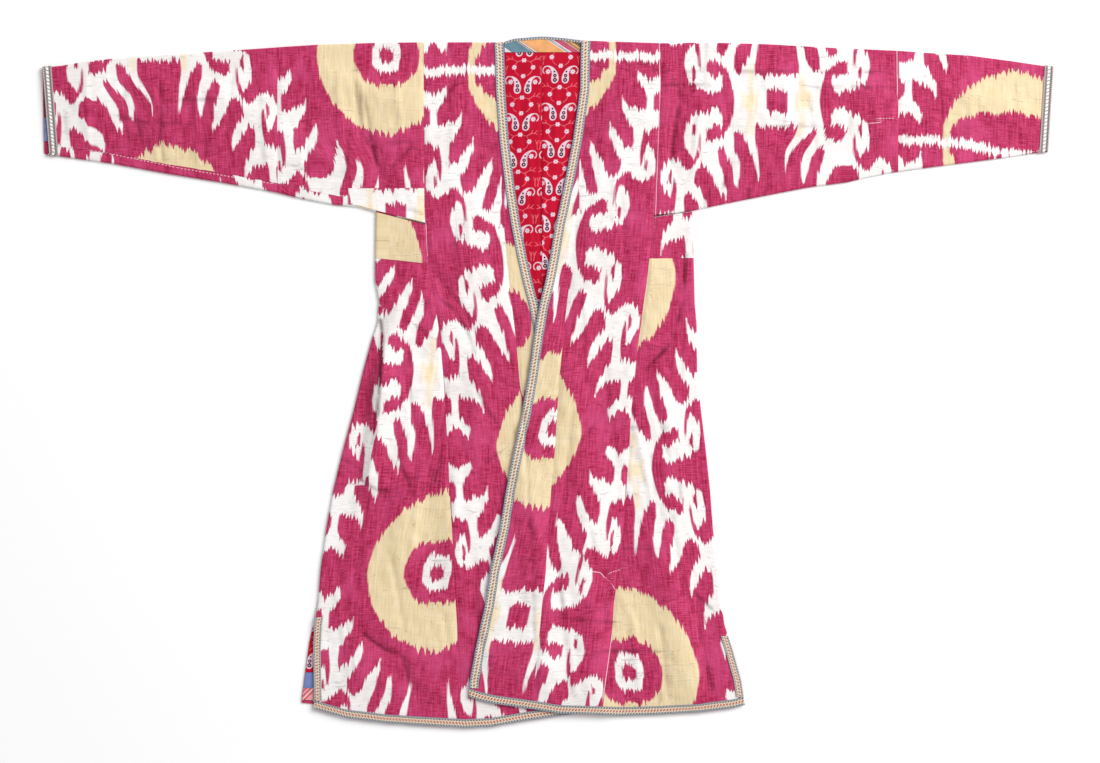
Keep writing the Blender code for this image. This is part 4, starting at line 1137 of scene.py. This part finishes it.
def read_print(across, down):
    """Depth in the pale, dark and pink parts of the print, in millimetres."""
    u = np.abs((across + PRINT_WIDE / 2) % PRINT_WIDE - PRINT_WIDE / 2)
    v = (down + 24) % PRINT_DOWN - 24
    pale, dark, grey = depth_in(u, v, PAISLEY), np.full(u.shape, -99.0), np.full(u.shape, -99.0)
    for x, y, outer, inner in PAISLEY_DARK:
        from_middle = np.hypot(u - x, v - y)
        dark = np.maximum(dark, np.minimum(outer - from_middle, from_middle - inner))
    for x, y, size in FLOWERS:
        turn = np.arctan2(v - y, u - x)
        from_middle = np.hypot(u - x, v - y)
        pale = np.maximum(pale, size * (0.8 + 0.2 * np.cos(PETALS * turn)) - from_middle)
        grey = np.maximum(grey, 1.8 - from_middle)
    pink = np.max([VINE_WIDTH - distance_to_line(u, v, vine) for vine in VINES], axis=0)
    return pale, np.maximum(dark, grey - 0.9), pink


# %% Printed cotton
PRINT_EDGE = 0.35


def cotton_material():
    """Thin plain-weave cotton in red, with a pale lavender print that has worn a little."""
    made, tree, shader = new_material("printed_red_cotton", 0.75)
    parts = add(tree, "SeparateXYZ", {0: add(tree, "Attribute", output="Vector",
                                                      attribute_name="print")}).node
    loom = add(tree, "UVMap", uv_map="loom")
    cloud = add(tree, "TexNoise", {"Vector": loom, "Scale": 28.0, "Detail": 3.0})
    colour = add(tree, "Mix", {"Factor": cloud, 6: linear("#A2041F"), 7: linear("#D01238")}, 2,
                 data_type="RGBA")
    for number, hue in ((2, "#E8737E"), (0, "#DFC8D4"), (1, "#48081E")):
        share = add(tree, "MapRange", {"Value": parts.outputs[number],
                                       "From Min": -PRINT_EDGE, "From Max": PRINT_EDGE})
        colour = add(tree, "Mix", {"Factor": share, 6: colour, 7: linear(hue)}, 2, data_type="RGBA")
    tree.links.new(colour, shader.inputs["Base Color"])
    shader.inputs["Specular IOR Level"].default_value = 0.1
    weave = add(tree, "TexNoise", {"Vector": loom, "Scale": 900.0})
    tree.links.new(add(tree, "Bump", {"Height": weave, "Strength": 0.2, "Distance": 0.3 * MM}),
                   shader.inputs["Normal"])
    return made


COTTON = cotton_material()

# %% Build the lining
LINING_JOIN, LINING_END, LINING_UNDER, PRINT_CELL = -9.0, 455.0, 16.0, 1.3
PRINT_STARTS = {"left": (-41.3, 88.0), "right": (20.6, 71.0)}
PRINT_SLANT = 0.053
LINING_CREASES = [
    (-9, 60, -14, 430, -1.2, 5, 5), (-34, 70, -30, 210, 0.9, 6, 9), (16, 60, 12, 190, 0.9, 8, 7),
    (30, 120, 14, 300, -0.8, 7, 6), (-46, 100, -22, 330, -0.8, 6, 7), (-2, 200, -12, 400, 0.8, 6, 6),
]


def lining_top(x):
    """The lining starts near the neck's edge, and below the shoulder folds under the fronts."""
    under_front = (x < body_x(4, 8)) | (x > body_x(5, 8))
    return np.where(under_front, along(TOP, x) + FOLD_RADIUS + WALL + SEAM, along(NECK, x) + 3)


def lining_points(name):
    part, step = np.linspace(0, 1, cells(72, PRINT_CELL)), np.linspace(0, 1, cells(LINING_END, PRINT_CELL))
    step, part = np.meshgrid(step, part, indexing="ij")
    drop = LINING_END * step
    if name == "left":
        start, end = body_x(4, drop) - LINING_UNDER, 0 * drop + LINING_JOIN - SEAM / 2
    else:
        start, end = 0 * drop + LINING_JOIN + SEAM / 2, body_x(5, drop) + LINING_UNDER
    x = start + (end - start) * part
    drop = drop + lining_top(x) * (1 - step)
    clear = np.minimum(x - body_x(4, drop), body_x(5, drop) - x)
    loft = 1.2 + crease_height(x, drop, LINING_CREASES, 20)
    shown = smooth((clear - 3) / 14) * smooth((drop - 29) / 16)
    return place(x, drop, LINING_MID + np.maximum(loft, 0) * shown)


def print_cloth(name, points, nodes, start):
    piece, index = lay_grid(name, points)
    x, drop = laid(points)
    down = drop - start[1]
    keep_vector(piece, index, "print", *read_print(x - start[0] + PRINT_SLANT * down, down))
    keep_uv(piece, index, x, drop)
    finish_cloth(piece, points, THIN, COTTON, nodes)


for name, start in PRINT_STARTS.items():
    print_cloth("lining_" + name + "_cloth", lining_points(name), ["lining_" + name], start)

# %% [markdown]
# Striped facings
#
# The neck is faced with a striped silk cut across its stripes, the left cuff with dark red and blue,
# and the vent with a violet scrap and a rose ribbon. Each stripe table gives where a stripe starts.
# A wave texture makes even stripes. These are uneven, so a colour ramp with hard steps is used.

# %% Striped cloth
FACING_MIDDLE = 18


def striped_material(name, rows, slant, fibre):
    """Smooth silk in stripes. rows are (start in mm at the facing's middle, colour). slant leans them."""
    made, tree, shader = new_material(name, 0.55)
    place_on = add(tree, "SeparateXYZ", {0: add(tree, "UVMap", uv_map="loom")}).node
    start, end = rows[0][0], rows[-1][0] + 20
    cross = add(tree, "Math", {0: place_on.outputs[1], 1: slant, 2: place_on.outputs[0]},
                operation="MULTIPLY_ADD")
    shift = slant * FACING_MIDDLE
    share = add(tree, "MapRange", {"Value": cross, "From Min": (start + shift) * MM,
                                   "From Max": (end + shift) * MM})
    ramp = add(tree, "ValToRGB", {"Fac": share}).node
    ramp.color_ramp.interpolation = "CONSTANT"
    ramp.color_ramp.elements.remove(ramp.color_ramp.elements[1])
    ramp.color_ramp.elements[0].color = linear(rows[0][1])
    for at, hue in rows[1:]:
        ramp.color_ramp.elements.new((at - start) / (end - start)).color = linear(hue)
    loom = add(tree, "UVMap", uv_map="loom")
    cloud = add(tree, "TexNoise", {"Vector": loom, "Scale": fibre, "Detail": 4.0})
    tone = add(tree, "MapRange", {"Value": cloud, "From Min": 0.3, "From Max": 0.7, "To Min": 0.78,
                                  "To Max": 1.12})
    colour = add(tree, "Mix", {"Factor": 1.0, 6: ramp.outputs[0], 7: tone}, 2, data_type="RGBA",
                 blend_type="MULTIPLY")
    tree.links.new(colour, shader.inputs["Base Color"])
    return made


NECK_STRIPES = [(-82, "#E9E4EA"), (-71, "#5F8290"), (-35.5, "#F4EEEE"), (-34, "#4A4650"), (-32.6, "#C24A5C"),
                (-31, "#F6EFEA"), (-28.5, "#8C5A50"), (-27.2, "#E8A566"), (18.5, "#F4EDE8"),
                (20.2, "#5C5A64"),
                (22, "#C9C6CC"), (24.5, "#6A5A64"), (25.6, "#EFE6E8"), (28.2, "#C04A68"), (42.5, "#F0DCC4"),
                (44, "#5A4030"), (45.6, "#C98F58"), (48, "#5A4030"), (49.4, "#D9A468"), (54, "#6A5038")]
CUFF_STRIPES = [(80, "#7E1C34"), (133.5, "#6F86B4"), (160, "#7C90BC")]
RIBBON_REPEAT = ("#C85068", "#E9A0A0", "#C85068", "#F0B8B0")
RIBBON_STRIPES = [(row, RIBBON_REPEAT[row // 4 % 4]) for row in range(620, 680, 4)]

# %% Build the facings
FACING_DROP, NECK_TAPE, NECK_GAP, NECK_NARROWS = 25.5, 4.0, 1.4, 0.985
CUFF_FACING, CUFF_FACING_GAP, CUFF_FACING_DROPS = 22, 0.8, (91, 172)


def flat_cloth(name, points, node, material):
    piece, index = lay_grid(name, points)
    keep_uv(piece, index, *laid(points))
    return finish_cloth(piece, points, THIN, material, [node])


def strip_between(first, last, rows, columns, z):
    """Points between two lines. Each line gives across and drop for a share of its length."""
    share, part = np.meshgrid(np.linspace(0, 1, rows), np.linspace(0, 1, columns), indexing="ij")
    (x0, d0), (x1, d1) = first(part), last(part)
    return place(x0 + (x1 - x0) * share, d0 + (d1 - d0) * share, z)


def neck_x(part):
    start, end = body_x(4, 8) + NECK_GAP, body_x(5, 8) - NECK_GAP
    return start + (end - start) * part


neck_points = strip_between(lambda p: (neck_x(p), along(NECK, neck_x(p)) + 0.5),
                            lambda p: (neck_x(p) * NECK_NARROWS, 0 * p + FACING_DROP), 14, 60, FACING_MID)
top, end = [(drop, np.interp(drop, CUFF_DROPS, CUFFS["left"][1]) + CUFF_FACING_GAP)
            for drop in CUFF_FACING_DROPS]
cuff_points = strip_between(lambda p: (top[1] + CUFF_FACING * p, top[0] + 0 * p),
                            lambda p: (end[1] + CUFF_FACING * p, end[0] + 0 * p), 30, 8, LINING_MID)
piece, index = lay_grid("facing_cuff_cloth", cuff_points)
keep_uv(piece, index, laid(cuff_points)[1], laid(cuff_points)[0])
finish_cloth(piece, cuff_points, THIN, striped_material("dark_red_and_blue_silk", CUFF_STRIPES, 0.0, 90.0),
             ["facing_cuff_left"])

# %% Build the vent's layers
VENT_UNDER, VENT_GAP, VENT_PRINT_START = 34.0, 0.8, (-398, 975)
VIOLET_STRIPES = [(-500, "#7080B8"), (0, "#7484BA")]
VENT_LAYERS = {
    "lining": (970, 1048, None, "lining"),
    "facing": (1048, 1074, striped_material("violet_silk", VIOLET_STRIPES, 0.0, 120.0), "violet"),
    "ribbon": (1074, 1094, striped_material("rose_ribbon", RIBBON_STRIPES, 1.0, 200.0), "rose"),
}


def vent_points(top, end, size):
    drop, part = np.meshgrid(np.linspace(top + SEAM / 2, end - SEAM / 2, cells(end - top, size)),
                             np.linspace(0, 1, cells(VENT_UNDER, size)), indexing="ij")
    return place(along(BACK_SIDES["left"], drop) + VENT_GAP + VENT_UNDER * part, drop, LINING_MID)


for name, (top, end, material, slot) in VENT_LAYERS.items():
    node = name + "_vent_left"
    if material is None:
        print_cloth(node + "_cloth", vent_points(top, end, PRINT_CELL), [node], VENT_PRINT_START)
    else:
        flat_cloth(node + "_cloth", vent_points(top, end, 3), node, material)

# %% [markdown]
# Woven tapes
#
# A jiyak is a narrow tape, woven straight onto the edge it binds. Its two cords are twisted and stand
# proud. Between them run tiny squares of red silk on cream. Each tape has a table of its lines and of
# its rows of dashes: the middle and half width across, the repeat, the dash and its shift along, and
# the colour, in millimetres. The squares are too small to model, and only the cords are raised.

# %% Tape patterns
# The dark outer lines of the front, hem and vent tapes are the cords' own blue-grey,
# made darker still as painted shade along the tapes' outer edges.
TAPE_LINES = {
    "front": [(0, "#8C90A0"), (1.6, "#C6C8BE"), (4.1, "#E2D2BA"), (11.3, "#C6C8BE"), (13.6, "#8C90A0")],
    "hem": [(0, "#868A98"), (1.5, "#B9BAB0"), (3.8, "#DCC8B0"), (10.6, "#B9BAB0"), (12.7, "#848896")],
    "vent": [(0, "#A2A2A6"), (1.4, "#C0BCB0"), (3.4, "#E0CDB6"), (8.9, "#C0BCB0"), (10.6, "#A2A0A2")],
    "cuff": [(0, "#A79C98"), (1.4, "#958884"), (4.6, "#A49A96"), (10.0, "#958884"), (13.0, "#B5ABA8")],
}
TAPE_DASHES = {
    "front": [(7.4, 1.7, 5.7, 2.8, 0, "#A8463E"), (7.4, 1.2, 5.7, 1.5, 3.4, "#8E9A8A"),
              (2.7, 1.0, 4.7, 2.3, 0, "#22302E"), (12.3, 1.0, 4.7, 2.3, 2.2, "#22302E"),
              (0.8, 0.8, 3.1, 1.2, 0, "#6E7296"), (14.4, 0.8, 3.1, 1.2, 1, "#6E7296")],
    "hem": [(6.9, 1.9, 5.2, 2.8, 0, "#AE524A"), (2.5, 1.0, 4.7, 2.3, 0, "#262E2C"),
            (11.5, 1.0, 4.7, 2.3, 2.2, "#262E2C")],
    "vent": [(5.9, 1.6, 5.4, 2.8, 0, "#B0584A"), (2.3, 0.8, 4.4, 2.1, 0, "#3A3C3C"),
             (9.6, 0.8, 4.4, 2.1, 2, "#3A3C3C")],
    "cuff": [(7.2, 1.9, 6.2, 4.0, 0, "#FFFFFF"), (3.0, 1.0, 3.4, 1.6, 0, "#584C4E"),
             (11.4, 1.0, 3.4, 1.6, 1.7, "#584C4E"), (1.0, 0.6, 3.4, 1.6, 1.7, "#E8E2E0")],
}


def tape_material(name):
    """Tightly woven silk and cotton tape, with raised twisted cords along both edges."""
    made, tree, shader = new_material("woven_tape_" + name, 0.7)
    loom = add(tree, "UVMap", uv_map="loom")
    on_tape = add(tree, "VectorMath", {0: loom, "Scale": 1000.0}, operation="SCALE")
    across, run = add(tree, "SeparateXYZ", {0: on_tape}).node.outputs[:2]
    wander = add(tree, "TexNoise", {"Vector": on_tape, "Scale": 0.35, "Detail": 2.0})
    across = add(tree, "Math", {0: wander, 1: 0.7, 2: across}, operation="MULTIPLY_ADD")
    colour = None
    for start, hue in TAPE_LINES[name]:
        inside = add(tree, "MapRange", {"Value": across, "From Min": start + 0.1,
                                        "From Max": start + 0.6})
        colour = add(tree, "Mix", {"Factor": inside, 6: colour or linear(hue), 7: linear(hue)}, 2,
                     data_type="RGBA")
    for middle, half, repeat, dash, shift, hue in TAPE_DASHES[name]:
        slid = add(tree, "Math", {0: across, 1: 0.5, 2: run}, operation="MULTIPLY_ADD")
        slid = add(tree, "Math", {0: slid, 1: shift}, operation="ADD")
        on_dash = add(tree, "Math", {0: add(tree, "Math", {0: slid, 1: repeat, 2: 0.0},
                                            operation="WRAP"), 1: dash}, operation="LESS_THAN")
        on_line = add(tree, "Math", {0: across, 1: middle + 0.35, 2: half}, operation="COMPARE")
        worn = add(tree, "MapRange", {"Value": wander, "From Min": 0.25, "From Max": 0.5, "To Min": 0.6})
        share = add(tree, "Math", {0: add(tree, "Math", {0: on_dash, 1: on_line},
                                          operation="MULTIPLY"), 1: worn}, operation="MULTIPLY")
        colour = add(tree, "Mix", {"Factor": share, 6: colour, 7: linear(hue)}, 2, data_type="RGBA")
    tree.links.new(colour, shader.inputs["Base Color"])
    weave = add(tree, "TexWave", {"Vector": on_tape, "Scale": 0.32, "Distortion": 2.0}, "Fac",
                bands_direction="DIAGONAL")
    tree.links.new(add(tree, "Bump", {"Height": weave, "Strength": 0.5, "Distance": 0.4 * MM}),
                   shader.inputs["Normal"])
    return made


TAPE_CLOTHS = {name: tape_material(name) for name in TAPE_LINES}

# %% Lay a tape
CORD, TAPE_CELLS, TAPE_LONG = 0.45, 16, 5.0


def outward_normals(points):
    """The direction out of a grid at each of its points, upward where the grid is level."""
    down, across = np.gradient(points, axis=0), np.gradient(points, axis=1)
    normal = np.cross(down, across)
    normal /= np.linalg.norm(normal, axis=2, keepdims=True)
    return normal if normal[..., 2].mean() > 0 else -normal


def lay_tape(name, pattern, points, nodes, width):
    """points run along the tape, with columns from its outer edge in. The cords stand a little higher."""
    share = np.linspace(0, 1, points.shape[1])
    cords = CORD * (np.exp(-((share - 0.09) / 0.07) ** 2) + np.exp(-((share - 0.91) / 0.07) ** 2))
    points = points + outward_normals(points) * (TAPE_LIFT + cords)[None, :, None] * MM
    piece, index = lay_grid(name, points)
    steps = np.linalg.norm(np.diff(points[:, len(share) // 2], axis=0), axis=1)
    run = np.concatenate([[0], np.cumsum(steps)]) / MM
    keep_uv(piece, index, share[None, :] * width, run[:, None])
    return finish_cloth(piece, points, THIN, TAPE_CLOTHS[pattern], nodes)


def edge_tape(name, column, width, start):
    """Points down a front edge (column 3) or a side (column 0), from a station to the hem's tape."""
    side = SIDES[name]
    inward = side["outward"] if column else -side["outward"]
    station = np.linspace(start, LENGTH - HEM_TAPE - SEAM, cells(LENGTH - start, TAPE_LONG))
    x, drop = laid(front_points(name, [column], station))
    if column == 0:
        x = x + side["outward"] * TURN_ROOM
    if start < 10:
        drop = drop - FOLD_RADIUS * np.clip((30 - station[:, None]) / 20, 0, 1)
    x = x + inward * width * np.linspace(0, 1, TAPE_CELLS)
    return place(x, drop, front_height(x, drop, name == "right"))


for name in SIDES:
    lay_tape("tape_front_" + name, "front", edge_tape(name, 3, TAPE, 9), ["trim_front_" + name], TAPE)
    vent_start = {"left": 982, "right": 1016}[name]
    lay_tape("tape_vent_" + name, "vent", edge_tape(name, 0, VENT_TAPE, vent_start), ["trim_vent_" + name],
             VENT_TAPE)
    hem = front_points(name, np.concatenate([FOLD_TURNS, np.linspace(0, 3, 110)]),
                       np.linspace(LENGTH, LENGTH - HEM_TAPE, TAPE_CELLS)).swapaxes(0, 1)
    lay_tape("tape_hem_" + name, "hem", hem, ["trim_hem_" + name], HEM_TAPE)
    cuff, _ = sleeve_points(name, at_cuff(name, CUFF_TAPE), at_cuff(name), TAPE_CELLS)
    if name == "left":
        front = np.concatenate([cuff[-HEM_CELLS - 2:], cuff[:UP_CELLS + 2]])
    else:
        before = HEM_CELLS + len(TURNS)
        front = cuff[before - 2:before + UP_CELLS + 2]
    lay_tape("tape_cuff_" + name, "cuff", front[:, ::-1], ["trim_cuff_" + name], CUFF_TAPE)

NECK_TAPE_LIFT = 0.4
neck_tape = strip_between(lambda p: (neck_x(p), along(NECK, neck_x(p))),
                          lambda p: (neck_x(p), along(NECK, neck_x(p)) + NECK_TAPE), 5, 60,
                          FACING_MID + THIN + NECK_TAPE_LIFT)
piece, index = lay_grid("tape_neck", neck_tape)
keep_uv(piece, index, laid(neck_tape)[1] - along(NECK, laid(neck_tape)[0]), laid(neck_tape)[0])
neck_edge = finish_cloth(piece, neck_tape, THIN, TAPE_CLOTHS["front"], ["trim_neck"])
flat_cloth("facing_neck_cloth", neck_points, "facing_neck",
           striped_material("striped_silk", NECK_STRIPES, -1.5, 60.0))
